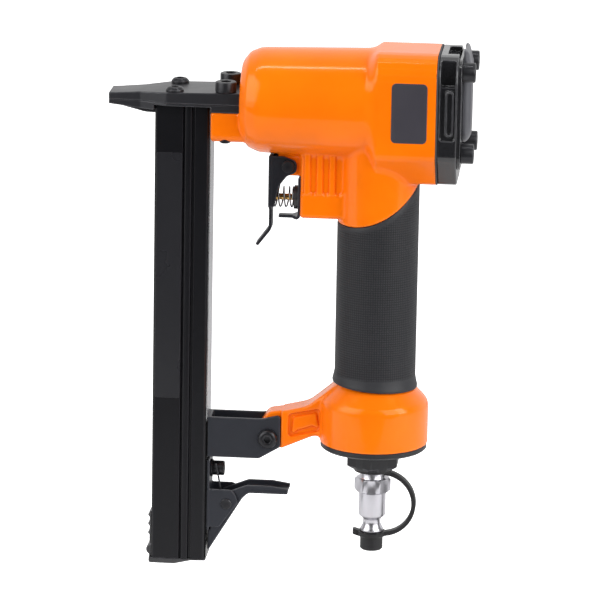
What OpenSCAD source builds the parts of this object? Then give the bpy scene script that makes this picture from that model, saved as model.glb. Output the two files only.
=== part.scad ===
// Pneumatic upholstery stapler for fine wire staples, in millimetres.
// The origin is the middle of the staple exit on the nose tip. X runs back along the driver,
// Y across the tool and Z up, so the handle and the magazine hang below the barrel.

/* [Nose] */
// Length from the nose tip to the front of the barrel
nose_len = 58; // [56:0.5:62]
// Width of the nose plates at the barrel
nose_w = 27; // [26:0.5:30]
// Width of the nose tip
tip_w = 15; // [14:0.5:18]
// Thickness of the upper nose plate at the barrel
plate_t = 5.5; // [4.5:0.1:6.5]
// Thickness of the lower plate that guides the driver
guide_t = 3.5; // [3:0.1:4.2]
// Crown width of the staples
crown_w = 9.2; // [8.6:0.1:9.6]
// Height of the channel that the driver runs in
channel_h = 1.2; // [1:0.1:1.6]

/* [Barrel and head] */
// Outside diameter of the round barrel
barrel_d = 46; // [45:0.5:50]
// Length of the round barrel up to the square head
barrel_len = 60; // [58:0.5:66]
// Growth of the barrel's radius from its front to the head
barrel_draft = 1.2; // [0.5:0.1:2]
// Length of the square head behind the barrel
head_len = 25.8; // [24:0.1:30]
// Width of the square head
head_w = 46; // [44:0.5:50]
// Height of the head above the driver line
head_rise = 25; // [24:0.5:28]
// Depth of the head below the driver line
head_drop = 33; // [31:0.5:36]

/* [Drive] */
// Inside diameter of the cylinder liner
bore_d = 28; // [26:0.5:28.5]
// Wall of the cylinder liner
liner_wall = 1.7; // [1.4:0.1:2]
// Travel of the piston and the driver
stroke = 45.5; // [43:0.5:48]
// Length of the piston
piston_len = 10; // [9:0.5:12]
// Thickness of the driver blade
blade_t = 0.9; // [0.7:0.05:0.9]
// Travel of the head valve that lets air into the cylinder
valve_lift = 2.6; // [2:0.1:3]

/* [Rear cap] */
// Length of the rear cap along the driver line
cap_len = 8.4; // [8:0.2:12]
// Thickness of the gasket between head and cap
gasket_t = 0.6; // [0.4:0.1:1]
// Thickness of the exhaust plate on the cap
cover_t = 1.6; // [1.2:0.1:2.4]
// Thread diameter of the four cap screws
screw_d = 5; // [4:0.5:5]
// Distance of the cap screws from the sides of the head
screw_side = 8.4; // [8:0.1:9]
// Distance of the upper cap screws from the top of the head
screw_top = 7.2; // [6.8:0.1:8.5]
// Distance of the lower cap screws from the bottom of the head
screw_base = 15.1; // [14.4:0.1:16]

/* [Trigger] */
// Distance from the handle axis forward to the face of the trigger housing
boss_reach = 33.6; // [32:0.2:36]
// Depth of the trigger pivot below the barrel
pivot_drop = 5.1; // [4.6:0.1:6]
// Depth of the trigger valve below the trigger pivot
valve_drop = 14.8; // [13.9:0.1:15.4]
// Width across the trigger's ears
trigger_w = 13.2; // [12.6:0.2:15]
// Thickness of the trigger's sheet steel
trigger_t = 1.4; // [1.2:0.1:1.6]
// Wire of the trigger spring
trigger_wire = 0.7; // [0.5:0.05:0.9]
// Turns of the trigger spring
trigger_turns = 4; // [3:1:5]

/* [Handle] */
// Distance from the rear cap's seam forward to the handle axis
handle_inset = 25.5; // [24.5:0.1:27.5]
// Outside diameter of the rubber grip
grip_d = 35.7; // [34.5:0.1:38]
// Wall of the rubber grip
grip_wall = 2.4; // [2:0.1:2.8]
// Depth of the grip's lower end below the driver line
grip_end = 125.5; // [122:0.5:128]
// Diameter of the handle's base
base_d = 47.8; // [46:0.2:51]
// Length of the handle's base below the grip
base_len = 26.5; // [25:0.5:28]
// Width across the flats of the end cap's hexagon
cap_hex = 22; // [20:0.5:24]

/* [Air plug] */
// Diameter of the plug's plain body
plug_d = 12; // [11.4:0.1:12.6]
// Width across the flats of the plug's hexagon
plug_hex = 14; // [13.5:0.5:15]
// Length of the plug's plain body
plug_body = 11.4; // [10:0.2:13]
// Diameter of the plug's nipple
nipple_d = 7.9; // [7.4:0.1:8.2]

/* [Magazine] */
// Distance from the nose tip to the front of the magazine
mag_front = 20.6; // [19.6:0.2:21.4]
// Depth of the magazine, front to back
mag_depth = 23.8; // [23:0.1:23.8]
// Width of the magazine
mag_w = 17; // [16.4:0.2:19]
// Length of the magazine below the nose
mag_len = 206; // [202:0.5:212]
// Wall between the staples and the magazine's back
mag_wall = 2; // [1.8:0.1:2.2]
// Thickness of the bright strip on the magazine's back
strip_t = 0.6; // [0.5:0.1:0.9]
// Turns of the pusher spring
pusher_turns = 28; // [20:1:30]

/* [Hanger and latch] */
// Distance from the handle axis forward to the hanger bolt
bolt_reach = 46.4; // [45:0.2:48]
// Depth of the hanger bolt below the end of the grip
bolt_drop = 25.7; // [25:0.1:26.4]
// Width across the hanger's cheeks
hanger_w = 14; // [13:0.2:16]
// Sheet thickness of the hanger
hanger_t = 1.5; // [1.2:0.1:2]
// Height of the latch pin above the end of the magazine
latch_rise = 25.7; // [24.6:0.1:26.4]
// Sheet thickness of the latch
latch_t = 1.2; // [1:0.1:1.4]
// Width of the latch lever
thumb_w = 11.2; // [10.4:0.2:12]

/* [Fits] */
// Gap round a screw, pin or turned piece that stays still
fit_gap = 0.05; // [0.03:0.01:0.08]
// Gap round a piece that slides or turns
run_gap = 0.1; // [0.06:0.01:0.14]
// Gap beside a loose piece
side_gap = 0.2; // [0.15:0.05:0.3]

/* [Hidden] */
$fn = 64;
orange = [1, 0.46, 0.02];
black = [0.13, 0.13, 0.14];
charcoal = [0.22, 0.23, 0.26];
rubber = [0.2, 0.2, 0.22];
steel = [0.72, 0.73, 0.75];
brass = [0.8, 0.65, 0.3];
chrome = [0.85, 0.86, 0.88];
seal_color = [0.08, 0.08, 0.09];

// Stations along the driver line
x_barrel = nose_len;
x_head = x_barrel + barrel_len;
x_seam = x_head + head_len;
x_cap = x_seam + gasket_t;
x_cover = x_cap + cap_len;
x_screw = x_cover + cover_t;
handle_x = x_seam - handle_inset;

// Barrel and head
barrel_r = barrel_d / 2;
barrel_back_r = barrel_r + barrel_draft;
barrel_face_r = barrel_r - 6;
barrel_cone = 8;
shoulder_len = 5;
head_flank = head_drop - 13.6;
head_foot = 24;
head_round = 11;
chamber_r = 18;
front_wall = 6;
x_liner = x_barrel + front_wall;
liner_r = bore_d / 2 + liner_wall;
liner_seat = 12;
liner_end = x_seam - 8.5;
collar_x = (x_liner + liner_end) / 2;
collar_len = 6;
tongue_gap = 0.4;

// Nose: the parting plane of the two plates is the floor of the driver channel
z_part = -channel_h / 2;
z_plate = z_part + plate_t;
z_guide = z_part - guide_t;
tip_up = 2.4;
tip_down = 2.6;
flare_start = 14;
flare_end = 26;
channel_w = crown_w + 0.6;
nose_screw_x = 29.4;
nose_screw_y = nose_w / 2 - 3.5;
nose_bolt_x = x_barrel - 6.4;
nose_bolt_y = nose_w / 2 - 3.5;
nose_bolt_r = 2.5;
tongue_w = nose_w - 0.6;
tongue_h = 13.2;
guide_web = 1.2;
z_tongue = z_guide - tongue_h;

// Piston train
piston_back = liner_end - 3;
piston_front = piston_back - piston_len;
piston_r = bore_d / 2 - 0.25;
bumper_end = piston_front - stroke - 0.5;
bumper_r = bore_d / 2 - 0.3;
tip_rest = stroke + 0.3;
blade_w = crown_w + 0.2;
blade_grip = 6;
valve_face_t = 4;
valve_r = chamber_r - 1.4;
valve_stem_r = 8;
valve_stem_end = x_cap + 3.9;
x_valve = liner_end + run_gap;
x_valve_back = x_valve + valve_face_t;
spring_pocket = 2;
spring_pocket_r = 15;
valve_spring_r = 12.5;
valve_wire = 1.2;

// Rear cap and screws
screw_r = screw_d / 2;
screw_head_r = screw_d * 0.85;
screw_head_h = screw_d;
socket_af = screw_d * 0.8;
screw_y = head_w / 2 - screw_side;
screw_hi = head_rise - screw_top;
screw_lo = head_drop - screw_base;
screw_spots = [[screw_y, screw_hi], [-screw_y, screw_hi], [screw_y, -screw_lo], [-screw_y, -screw_lo]];
cap_inset = 0.3;
hood_depth = 3.6;
hood_slope = 6.5;
hood_w = 2 * (screw_y - screw_head_r - 1.35);
hood_top = head_rise + 1.5;
hood_low = 11.5;
exhaust_r = 6;

// Handle, grip and base
grip_r = grip_d / 2;
core_r = grip_r - grip_wall - fit_gap;
reservoir_r = 12;
scoop_r = 35.6;
scoop_x = handle_x - 13.3;
scoop_z = -17;
sleeve_top = scoop_z - 7;
z_grip = -grip_end;
base_r = base_d / 2;
z_base = z_grip - base_len;
base_slope = 7.4;
thread_r = 19.8;
thread_len = 9;

// Trigger and its valve
x_boss = handle_x - boss_reach;
boss_w = 19;
pivot_x = x_boss - 5.8;
pivot_z = -barrel_r - pivot_drop;
valve_z = pivot_z - valve_drop;
z_boss = valve_z - 7.3;
pivot_r = 2;
ear_r = 4.4;
ear_in = trigger_w / 2 - trigger_t;
lug_w = 2 * (ear_in - side_gap);
web_x = pivot_x - 8.4;
trigger_top = -barrel_r - 0.6;
ear_low = pivot_z - 18.4;
pull_w = 7;
pull_len = 28.8;
pull_hook = 7;
trigger_bend = pivot_z - pull_len;
trigger_tip = trigger_bend - pull_hook;
bush_r = 4.95;
bush_flange_r = 5.2;
bush_flange_t = 1.9;
bush_end = x_boss + 19.2;
stop_t = 1.4;
x_stop = x_boss - stop_t;
stop_top = pivot_z - ear_r - 0.7;
stop_low = z_boss - 0.4;
stop_w = 12;
stop_tab_w = 4;
stop_lead = web_x + trigger_t + 2.7;
stem_r = 1.4;
stem_tip = web_x + trigger_t + 0.3;
stem_collar = x_boss + 9.3;
stem_collar_r = 2.9;
stem_collar_t = 2.5;
trigger_spring_r = 4.4;
rib_count = 3;
rib_lead = 2.9;
rib_pitch = 5.5;
rib_r = 1.4;
rib_foot = 11;

// Magazine
mag_back = mag_front + mag_depth;
z_mag_top = z_part - guide_web;
z_mag = z_mag_top - mag_len;
x_strip = mag_back + strip_t;
cavity_front = mag_front + 3;
cavity_back = mag_back - mag_wall;
cavity_w = channel_w + 0.2;
rail_w = crown_w - 1.6;
rail_t = 1;
rail_front = cavity_front + 2.4;
rail_back = cavity_back - 1.2;
rail_top = z_part - 0.3;
rod_x_pos = (rail_front + rail_back) / 2;
rod_r = 1.4;
rod_top = rail_top - 13;
pusher_h = 18.5;
pusher_top = rail_top - 0.3;
pusher_low = pusher_top - pusher_h;
tail_t = 2.6;
spigot_h = 7.5;
pusher_spring_r = 2.1;
pusher_wire = 0.5;
finger_x = mag_front - side_gap;
finger_t = 1;
finger_h = 20.5;
finger_w = 12;
face_edge = 0.9;
face_w = 11.1;
face_low = 74;
face_high = 21.3;
face_t = 0.2;

// Hanger
bolt_x = handle_x - bolt_reach;
bolt_z = z_grip - bolt_drop;
hanger_in = hanger_w / 2 - hanger_t;
arm_w = 2 * (hanger_in - side_gap);
hanger_top = bolt_z + 8.8;
hanger_low = bolt_z - 9.4;
hanger_end = bolt_x + 5.5;
bolt_r = 2.5;

// Latch
latch_x = x_strip + 8.8;
latch_z = z_mag + latch_rise;
latch_pin_r = 1.8;
lever_out = thumb_w / 2;
lever_in = lever_out - latch_t;
cheek_in = lever_out + side_gap;
cheek_out = cheek_in + latch_t;
lever_tip = latch_x + 27.6;
plate_x = x_strip + latch_t;
latch_screw_z = latch_z + 14.6;
latch_screw_r = 2;
coil_r = 2.4;
coil_wire = 0.8;
coil_turns = 3;

// Air inlet
z_cap_rim = z_base - 1.5;
z_cap_low = z_base - 5.1;
z_hex = z_cap_low - 8.3;
plug_r = plug_d / 2;
strap_t = 2;
strap_w = 4.4;
z_plug_seat = z_hex - 1.8;
z_plug_hex = z_plug_seat - 1.2;
z_plug_body = z_plug_hex - 6.2;
z_plug_end = z_plug_body - plug_body;
z_neck = z_plug_end - 2;
z_collar = z_neck - 4.2;
z_dust = z_collar - 1.3;
nipple_r = nipple_d / 2;
nipple_len = 7;
plug_bore_r = 2.6;
dust_wall = 1;
dust_r = nipple_r + run_gap + dust_wall;
dust_flange_r = 6.4;
dust_len = 8.3;
strap_x = handle_x + nipple_r + 0.4;
strap_ring_r = 8.4;
strap_mid = (z_hex - 0.9 + z_dust - strap_t / 2) / 2;
strap_bow = z_hex - 0.9 - strap_mid;

// Outline with each corner turned into an arc of the given radius
function unit(v) = v / norm(v);
function corner(a, b, c, r, n) =
  r <= 0 ? [b] :
  let (
    u = unit(a - b),
    v = unit(c - b),
    half = acos(u * v) / 2,
    mid = b + unit(u + v) * r / sin(half),
    p = b + u * r / tan(half) - mid,
    q = b + v * r / tan(half) - mid,
    start = atan2(p[1], p[0]),
    sweep = (atan2(q[1], q[0]) - start + 540) % 360 - 180
  )
  [for (i = [0:n]) mid + r * [cos(start + sweep * i / n), sin(start + sweep * i / n)]];
function rounded(pts, radii, n = 5) =
  let (m = len(pts))
  [for (i = [0:m - 1]) each corner(pts[(i + m - 1) % m], pts[i], pts[(i + 1) % m], radii[i], n)];

// Solids along the three axes
module rod_x(r, x0, x1, y = 0, z = 0) {
  translate([x0, y, z]) rotate([0, 90, 0]) cylinder(r = r, h = x1 - x0);
}
module rod_y(r, y0, y1, x, z) {
  translate([x, y0, z]) rotate([-90, 0, 0]) cylinder(r = r, h = y1 - y0);
}
module rod_z(r, z0, z1, x = 0, y = 0) {
  translate([x, y, z0]) cylinder(r = r, h = z1 - z0);
}
module block(a, b) {
  translate(a) cube(b - a);
}
module side_view(pts, y0, y1) {
  translate([0, y1, 0]) rotate([90, 0, 0]) linear_extrude(y1 - y0) polygon(pts);
}
module end_view(pts, x0, x1) {
  translate([x0, 0, 0]) rotate([90, 0, 90]) linear_extrude(x1 - x0) polygon(pts);
}
module plan_view(pts, z0, z1) {
  translate([0, 0, z0]) linear_extrude(z1 - z0) polygon(pts);
}
module turned_x(pts, y = 0, z = 0) {
  translate([0, y, z]) rotate([0, 90, 0]) rotate_extrude() polygon([for (p = pts) [p[1], p[0]]]);
}
module turned_z(pts, x = 0, y = 0) {
  translate([x, y, 0]) rotate_extrude() polygon(pts);
}
module ring_x(major, minor, x, y = 0, z = 0) {
  translate([x, y, z]) rotate([0, 90, 0]) rotate_extrude() translate([major, 0]) circle(minor);
}
module both_sides() {
  children();
  mirror([0, 1, 0]) children();
}

// Coil spring along Z from the origin: its ends run straight for one wire thickness
coil_rings = 8;
wire_sides = 6;
function coil_path(r, length, turns, wire) =
  let (n = turns * coil_rings, rise = length - 2 * wire)
  concat(
    [[r, 0, 0, 0]],
    [for (i = [0:n]) let (a = 360 * i / coil_rings) [r * cos(a), r * sin(a), wire + rise * i / n, a]],
    [[r * cos(360 * turns), r * sin(360 * turns), length, 360 * turns]]
  );
function point3(p) = [p[0], p[1], p[2]];
function tube_points(path, wire) =
  let (last = len(path) - 1)
  [
    for (i = [0:last])
      let (
        along = i == 0 || i == last ? [0, 0, 1] :
          unit(point3(path[i + 1]) - point3(path[i - 1])),
        out = [cos(path[i][3]), sin(path[i][3]), 0],
        up = cross(along, out)
      )
      for (k = [0:wire_sides - 1])
        let (b = 360 * k / wire_sides)
        point3(path[i]) + wire / 2 * (cos(b) * out + sin(b) * unit(up))
  ];
function tube_faces(rings) =
  concat(
    [[for (k = [0:wire_sides - 1]) k]],
    [
      for (i = [0:rings - 2])
        for (k = [0:wire_sides - 1])
          let (
            a = i * wire_sides + k,
            b = i * wire_sides + (k + 1) % wire_sides
          )
          each [[a, a + wire_sides, b], [b, a + wire_sides, b + wire_sides]]
    ],
    [[for (k = [0:wire_sides - 1]) rings * wire_sides - 1 - k]]
  );
function coil_gap(path, wire) =
  min([
    for (i = [0:len(path) - 1])
      for (j = [i + coil_rings - 2:1:len(path) - 1])
        norm(point3(path[i]) - point3(path[j])) - wire
  ]);
module coil(r, length, turns, wire) {
  path = coil_path(r, length, turns, wire);
  polyhedron(points = tube_points(path, wire), faces = tube_faces(len(path)), convexity = 10);
}

// Rear outline of the square head, shared by the gasket and the cap
function head_outline(inset = 0) =
  let (
    w = head_w / 2 - inset,
    top = head_rise - inset,
    low = -head_drop + inset,
    foot = head_foot / 2 - inset / 2
  )
  rounded(
    [[-w, top], [w, top], [w, -head_flank], [foot, low], [-foot, low], [-w, -head_flank]],
    [head_round, head_round, 5, 4, 4, 5]
  );
module screw_holes(x0, x1, r) {
  for (s = screw_spots) rod_x(r, x0, x1, s[0], s[1]);
}

// Housing casting: barrel, head, trigger housing, handle, base and hanger arm in one piece
module barrel_form() {
  turned_x([
    [x_barrel, 0],
    [x_barrel, barrel_face_r],
    [x_barrel + barrel_cone * 0.4, barrel_r - 2],
    [x_barrel + barrel_cone, barrel_r],
    [x_head - shoulder_len + 0.5, barrel_back_r],
    [x_head - shoulder_len + 0.5, 0]
  ]);
  end_view(head_outline(), x_head, x_seam);
  hull() {
    end_view(head_outline(0.15), x_head, x_head + 1);
    rod_x(barrel_back_r - 0.2, x_head - shoulder_len, x_head - shoulder_len + 0.5, $fn = 32);
  }
}
module trigger_housing_form() {
  side_view(
    rounded(
      [[x_boss, -barrel_r / 2], [x_boss, z_boss], [handle_x, z_boss], [handle_x, -barrel_r / 2]],
      [0, 3, 0, 0]
    ),
    -boss_w / 2, boss_w / 2
  );
  both_sides()
    for (i = [0:rib_count - 1])
      rod_z(rib_r, z_boss + rib_foot, -barrel_r / 2, x_boss + rib_lead + rib_pitch * i, boss_w / 2 - 0.3);
  side_view(
    rounded(
      [
        [pivot_x - ear_r, -barrel_r / 2],
        [pivot_x - ear_r, pivot_z - ear_r],
        [x_boss + 1, pivot_z - ear_r],
        [x_boss + 1, -barrel_r / 2]
      ],
      [0, ear_r - 0.2, 0, 0]
    ),
    -lug_w / 2, lug_w / 2
  );
}
module handle_form() {
  intersection() {
    rod_z(grip_r, scoop_z - scoop_r, -5, handle_x);
    rod_y(scoop_r - run_gap, -base_r, base_r, scoop_x, scoop_z);
  }
  rod_z(core_r, z_grip - 2, -5, handle_x);
  turned_z(
    rounded(
      [
        [0, z_grip],
        [grip_r - 1, z_grip],
        [base_r, z_grip - base_slope],
        [base_r, z_base],
        [0, z_base]
      ],
      [0, 1.5, 6, 0.8, 0]
    ),
    handle_x
  );
}
module arm_side(w) {
  arm_top = bolt_z + 12.8;
  side_view(
    rounded(
      [
        [bolt_x - 5, bolt_z + 4],
        [bolt_x - 0.5, bolt_z + 11.6],
        [bolt_x + 7, arm_top],
        [bolt_x + 17, arm_top + 2.4],
        [bolt_x + 29, arm_top + 12],
        [handle_x, arm_top + 12],
        [handle_x, bolt_z + 1.6],
        [bolt_x + 20, bolt_z + 1.8],
        [bolt_x + 6, bolt_z - 4.4],
        [bolt_x - 5, bolt_z - 7]
      ],
      [2, 4, 8, 12, 4, 0, 0, 6, 4, 4]
    ),
    -w, w
  );
}
module arm_form() {
  arm_side(arm_w / 2);
  intersection() {
    arm_side(hanger_w / 2);
    block([hanger_end + tongue_gap, -hanger_w, hanger_low - hanger_w], [handle_x, hanger_w, z_grip + hanger_w]);
  }
}
module arm_pocket() {
  low = bolt_z + 3.6;
  high = bolt_z + 12.4;
  w = hanger_w / 2;
  difference() {
    side_view(
      rounded(
        [[bolt_x + 9.4, low - 3], [bolt_x + 23.6, low], [bolt_x + 23.6, high + 2.2], [bolt_x + 9.4, high - 1]],
        [1.5, 1.5, 1.5, 1.5]
      ),
      w - 1.2, w + 1
    );
    side_view(
      rounded(
        [
          [bolt_x + 11.2, low - 0.9],
          [bolt_x + 22, low + 1.6],
          [bolt_x + 22, high + 0.4],
          [bolt_x + 11.2, high - 2.6]
        ],
        [1.2, 1.2, 1.2, 1.2]
      ),
      w - 2, w + 2
    );
  }
}
module tongue_form() {
  w = tongue_w / 2;
  end_view(
    rounded([[-w, z_guide], [w, z_guide], [w, z_tongue], [-w, z_tongue]], [0, 0, 3.5, 3.5]),
    x_strip + tongue_gap, x_barrel + barrel_cone
  );
}
module housing_bores() {
  rod_x(chamber_r, x_liner + liner_seat, x_seam + 1);
  rod_x(liner_r + fit_gap, x_liner, x_seam);
  block([x_barrel - 1, -channel_w / 2, -channel_h / 2 - 0.3], [x_liner + 1, channel_w / 2, channel_h / 2 + 0.3]);
  screw_holes(x_head + 6, x_seam + 1, screw_r + fit_gap);
  rod_z(reservoir_r, z_base + thread_len - 1, -chamber_r + 4, handle_x);
  rod_z(thread_r + fit_gap, z_base - 1, z_base + thread_len + 0.5, handle_x);
  rod_x(bush_r + fit_gap, x_boss - 1, bush_end + 0.1, 0, valve_z);
  rod_x(1.9, bush_end, handle_x, 0, valve_z);
  rod_y(pivot_r + fit_gap, -boss_w, boss_w, pivot_x, pivot_z);
  rod_y(bolt_r + fit_gap, -boss_w, boss_w, bolt_x, bolt_z);
  for (s = [-1, 1]) rod_z(nose_bolt_r + fit_gap, z_tongue - 1, z_guide + 1, nose_bolt_x, s * nose_bolt_y);
  both_sides() arm_pocket();
  pad_recess();
}
module housing() {
  color(orange) difference() {
    union() {
      barrel_form();
      trigger_housing_form();
      handle_form();
      arm_form();
      tongue_form();
    }
    housing_bores();
  }
}

// Blank pad let into the near side of the head
pad_x = x_seam - 11.6;
pad_w = 15.4;
pad_h = 26.2;
pad_z = 0.55;
pad_depth = 0.15 * (head_w / 2 - chamber_r);
function pad_outline(gap) =
  let (w = pad_w / 2 + gap, h = pad_h / 2 + gap)
  rounded(
    [[pad_x - w, pad_z - h], [pad_x + w, pad_z - h], [pad_x + w, pad_z + h], [pad_x - w, pad_z + h]],
    [2, 2, 2, 2]
  );
module pad_recess() {
  side_view(pad_outline(fit_gap), -head_w / 2 - 1, -head_w / 2 + pad_depth);
}
module side_pad() {
  color(black) side_view(pad_outline(0), -head_w / 2 - 0.2, -head_w / 2 + pad_depth);
}

// Cylinder, piston and driver
module cylinder_liner() {
  color(steel) difference() {
    union() {
      rod_x(liner_r, x_liner, liner_end);
      rod_x(chamber_r - fit_gap, collar_x, collar_x + collar_len);
    }
    rod_x(bore_d / 2, x_liner - 1, liner_end + 1);
    difference() {
      rod_x(chamber_r + 1, collar_x + 1.8, collar_x + collar_len - 1.8);
      rod_x(chamber_r - 2, collar_x, collar_x + collar_len);
    }
  }
}
module liner_seal() {
  color(seal_color) ring_x(chamber_r - 1.05, 0.95, collar_x + collar_len / 2);
}
module bumper() {
  color(rubber) difference() {
    rod_x(bumper_r, x_liner, bumper_end);
    block([x_liner - 1, -channel_w / 2 - 0.4, -1.6], [bumper_end + 1, channel_w / 2 + 0.4, 1.6]);
  }
}
seal_x = piston_front + piston_len * 0.55;
module piston() {
  color(steel) difference() {
    turned_x([
      [piston_front, 0],
      [piston_front, piston_r - 1],
      [piston_front + 1, piston_r],
      [seal_x - 1.3, piston_r],
      [seal_x - 1.3, piston_r - 2.2],
      [seal_x + 1.3, piston_r - 2.2],
      [seal_x + 1.3, piston_r],
      [piston_back, piston_r],
      [piston_back, piston_r - 4],
      [piston_back - 2, piston_r - 5],
      [piston_back - 2, 0]
    ]);
    block(
      [piston_front - 1, -blade_w / 2 - fit_gap, -blade_t / 2 - fit_gap],
      [piston_front + blade_grip + fit_gap, blade_w / 2 + fit_gap, blade_t / 2 + fit_gap]
    );
    rod_z(1.5 + fit_gap, -bore_d, bore_d, piston_front + 2.6);
  }
}
module piston_seal() {
  color(seal_color) ring_x(bore_d / 2 - run_gap - 1.1, 1.1, seal_x);
}
module driver_blade() {
  color(steel) difference() {
    block([tip_rest, -blade_w / 2, -blade_t / 2], [piston_front + blade_grip, blade_w / 2, blade_t / 2]);
    rod_z(1.5 + fit_gap, -bore_d, bore_d, piston_front + 2.6);
  }
}
module driver_pin() {
  color(steel) rod_z(1.5, -piston_r + 2, piston_r - 2, piston_front + 2.6);
}

// Head valve behind the cylinder
module head_valve() {
  color(black) turned_x([
    [x_valve, 0],
    [x_valve, valve_r],
    [x_valve_back, valve_r],
    [x_valve_back, valve_stem_r],
    [x_cap + 2.4, valve_stem_r],
    [x_cap + 2.4, valve_stem_r - 1.5],
    [valve_stem_end - 0.3, valve_stem_r - 1.5],
    [valve_stem_end - 0.3, valve_stem_r],
    [valve_stem_end, valve_stem_r],
    [valve_stem_end, 0]
  ]);
}
module head_valve_seal() {
  color(seal_color) ring_x(valve_stem_r - 0.7 + run_gap / 2, 0.55, x_cap + 3);
}
module head_valve_spring() {
  color(steel) translate([x_valve_back, 0, 0]) rotate([0, 90, 0])
    coil(valve_spring_r, x_cap + spring_pocket - x_valve_back, 2, valve_wire);
}

// Rear cap, gasket and exhaust
module cap_gasket() {
  color(steel) difference() {
    end_view(head_outline(), x_seam, x_cap);
    rod_x(chamber_r, x_seam - 1, x_cap + 1);
    screw_holes(x_seam - 1, x_cap + 1, screw_r + fit_gap);
  }
}
module cap_window() {
  w = head_w / 2 - cap_inset;
  mid = (x_cap + x_cover) / 2;
  side_view(
    rounded(
      [[mid - 3.2, -11], [mid + 3.2, -11], [mid + 3.2, head_rise - 3.5], [mid - 3.2, head_rise - 3.5]],
      [1, 1, 1, 1]
    ),
    w - 1.6, w + 1
  );
}
module cap_port() {
  w = head_w / 2 - cap_inset;
  mid = (x_cap + x_cover) / 2 + 0.8;
  difference() {
    side_view(
      rounded([[mid - 2, -9.3], [mid + 2, -9.3], [mid + 2, 10.9], [mid - 2, 10.9]], [1.9, 1.9, 1.9, 1.9]),
      w - 2.4, w - 0.3
    );
    side_view(
      rounded([[mid - 1, -8.3], [mid + 1, -8.3], [mid + 1, 9.9], [mid - 1, 9.9]], [0.9, 0.9, 0.9, 0.9]),
      w - 3, w + 1
    );
  }
}
module rear_cap() {
  top = head_rise - cap_inset;
  color(black) union() {
    difference() {
      end_view(head_outline(cap_inset), x_cap, x_cover);
      rod_x(spring_pocket_r, x_cap - 1, x_cap + spring_pocket);
      rod_x(valve_stem_r + run_gap, x_cap, valve_stem_end + valve_lift + 0.4);
      rod_x(exhaust_r - 2, x_cap, x_cover + 1);
      screw_holes(x_cap - 1, x_cover + 1, screw_r + fit_gap);
      both_sides() cap_window();
      block([x_cap + 3.2, -7, top - 1.2], [x_cover - 1, 7, top + 1]);
    }
    both_sides() cap_port();
  }
}
module exhaust_plate() {
  w = head_w / 2 - 2;
  color(charcoal) difference() {
    end_view(
      rounded([[-w, head_rise - 2], [w, head_rise - 2], [w, -screw_lo - 7], [-w, -screw_lo - 7]], [8, 8, 6, 6]),
      x_cover, x_screw
    );
    rod_x(exhaust_r, x_cover - 1, x_screw + 1);
    screw_holes(x_cover - 1, x_screw + 1, screw_r + fit_gap);
  }
}
module exhaust_hood() {
  w = hood_w / 2;
  face_top = hood_top - hood_slope;
  color(charcoal) difference() {
    hull() {
      end_view(
        rounded([[-w, hood_top], [w, hood_top], [w, -hood_low], [-w, -hood_low]], [0.5, 0.5, 0.75 * w, 0.75 * w]),
        x_screw, x_screw + 0.8
      );
      end_view(
        rounded(
          [[2 - w, face_top], [w - 2, face_top], [w - 2, 2.5 - hood_low], [2 - w, 2.5 - hood_low]],
          [0.5, 0.5, 0.6 * w, 0.6 * w]
        ),
        x_screw + hood_depth - 0.1, x_screw + hood_depth
      );
    }
    end_view(
      rounded([[3.2 - w, hood_top + 1], [w - 3.2, hood_top + 1], [w - 3.2, 4 - hood_low], [3.2 - w, 4 - hood_low]],
        [0, 0, 0.4 * w, 0.4 * w]),
      x_screw - 1, x_screw + hood_depth - 1.2
    );
  }
}
module cap_screws() {
  color(steel) for (s = screw_spots) difference() {
    union() {
      rod_x(screw_r, x_head + 7, x_screw + 1, s[0], s[1]);
      rod_x(screw_head_r, x_screw, x_screw + screw_head_h, s[0], s[1]);
    }
    rod_x(socket_af / 2 / cos(30), x_screw + 1.4, x_screw + screw_head_h + 1, s[0], s[1], $fn = 6);
  }
}

// Nose plates: the upper one covers the driver channel, the lower one guides the driver
function nose_plan(w, tip) =
  rounded(
    [
      [0, -tip / 2],
      [flare_start, -tip / 2 - 1],
      [flare_end, -w / 2],
      [x_barrel, -w / 2],
      [x_barrel, w / 2],
      [flare_end, w / 2],
      [flare_start, tip / 2 + 1],
      [0, tip / 2]
    ],
    [0, 2, 2, 0, 0, 2, 2, 0]
  );
module nose_holes(z0, z1) {
  for (s = [-1, 1]) {
    rod_z(2 + fit_gap, z0, z1, nose_screw_x, s * nose_screw_y);
    rod_z(nose_bolt_r + fit_gap, z0, z1, nose_bolt_x, s * nose_bolt_y);
  }
}
module nose_plate() {
  color(charcoal) difference() {
    intersection() {
      plan_view(nose_plan(nose_w, tip_w), z_part, z_plate + 1);
      side_view(
        [
          [0, z_part],
          [x_barrel, z_part],
          [x_barrel, z_plate],
          [flare_end, z_plate - 0.6],
          [4, tip_up + 0.2],
          [0, tip_up]
        ],
        -nose_w, nose_w
      );
    }
    block([-1, -channel_w / 2, z_part - 1], [x_barrel + 1, channel_w / 2, channel_h / 2]);
    nose_holes(z_part - 1, z_plate + 1);
  }
}
module driver_guide() {
  color(black) difference() {
    union() {
      intersection() {
        plan_view(nose_plan(nose_w - 0.8, tip_w - 0.6), z_guide - 1, z_part);
        side_view(
          [[0, z_part], [x_barrel, z_part], [x_barrel, z_guide], [flare_start, z_guide], [0, -tip_down]],
          -nose_w, nose_w
        );
      }
      side_view(
        rounded(
          [
            [4, z_part - 1],
            [4, -tip_down - 1],
            [mag_front - 5, z_guide - 2.4],
            [mag_front - side_gap, z_guide - 2.6],
            [mag_front - side_gap, z_part - 1]
          ],
          [0, 2, 8, 0.6, 0]
        ),
        -4, 4
      );
    }
    block(
      [cavity_front, -channel_w / 2, z_guide - 4],
      [cavity_back, channel_w / 2, z_part + 1]
    );
    block([mag_front - side_gap, -nose_w, z_guide - 4], [x_strip + tongue_gap, nose_w, z_mag_top]);
    nose_holes(z_guide - 1, z_part + 1);
  }
}
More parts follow.
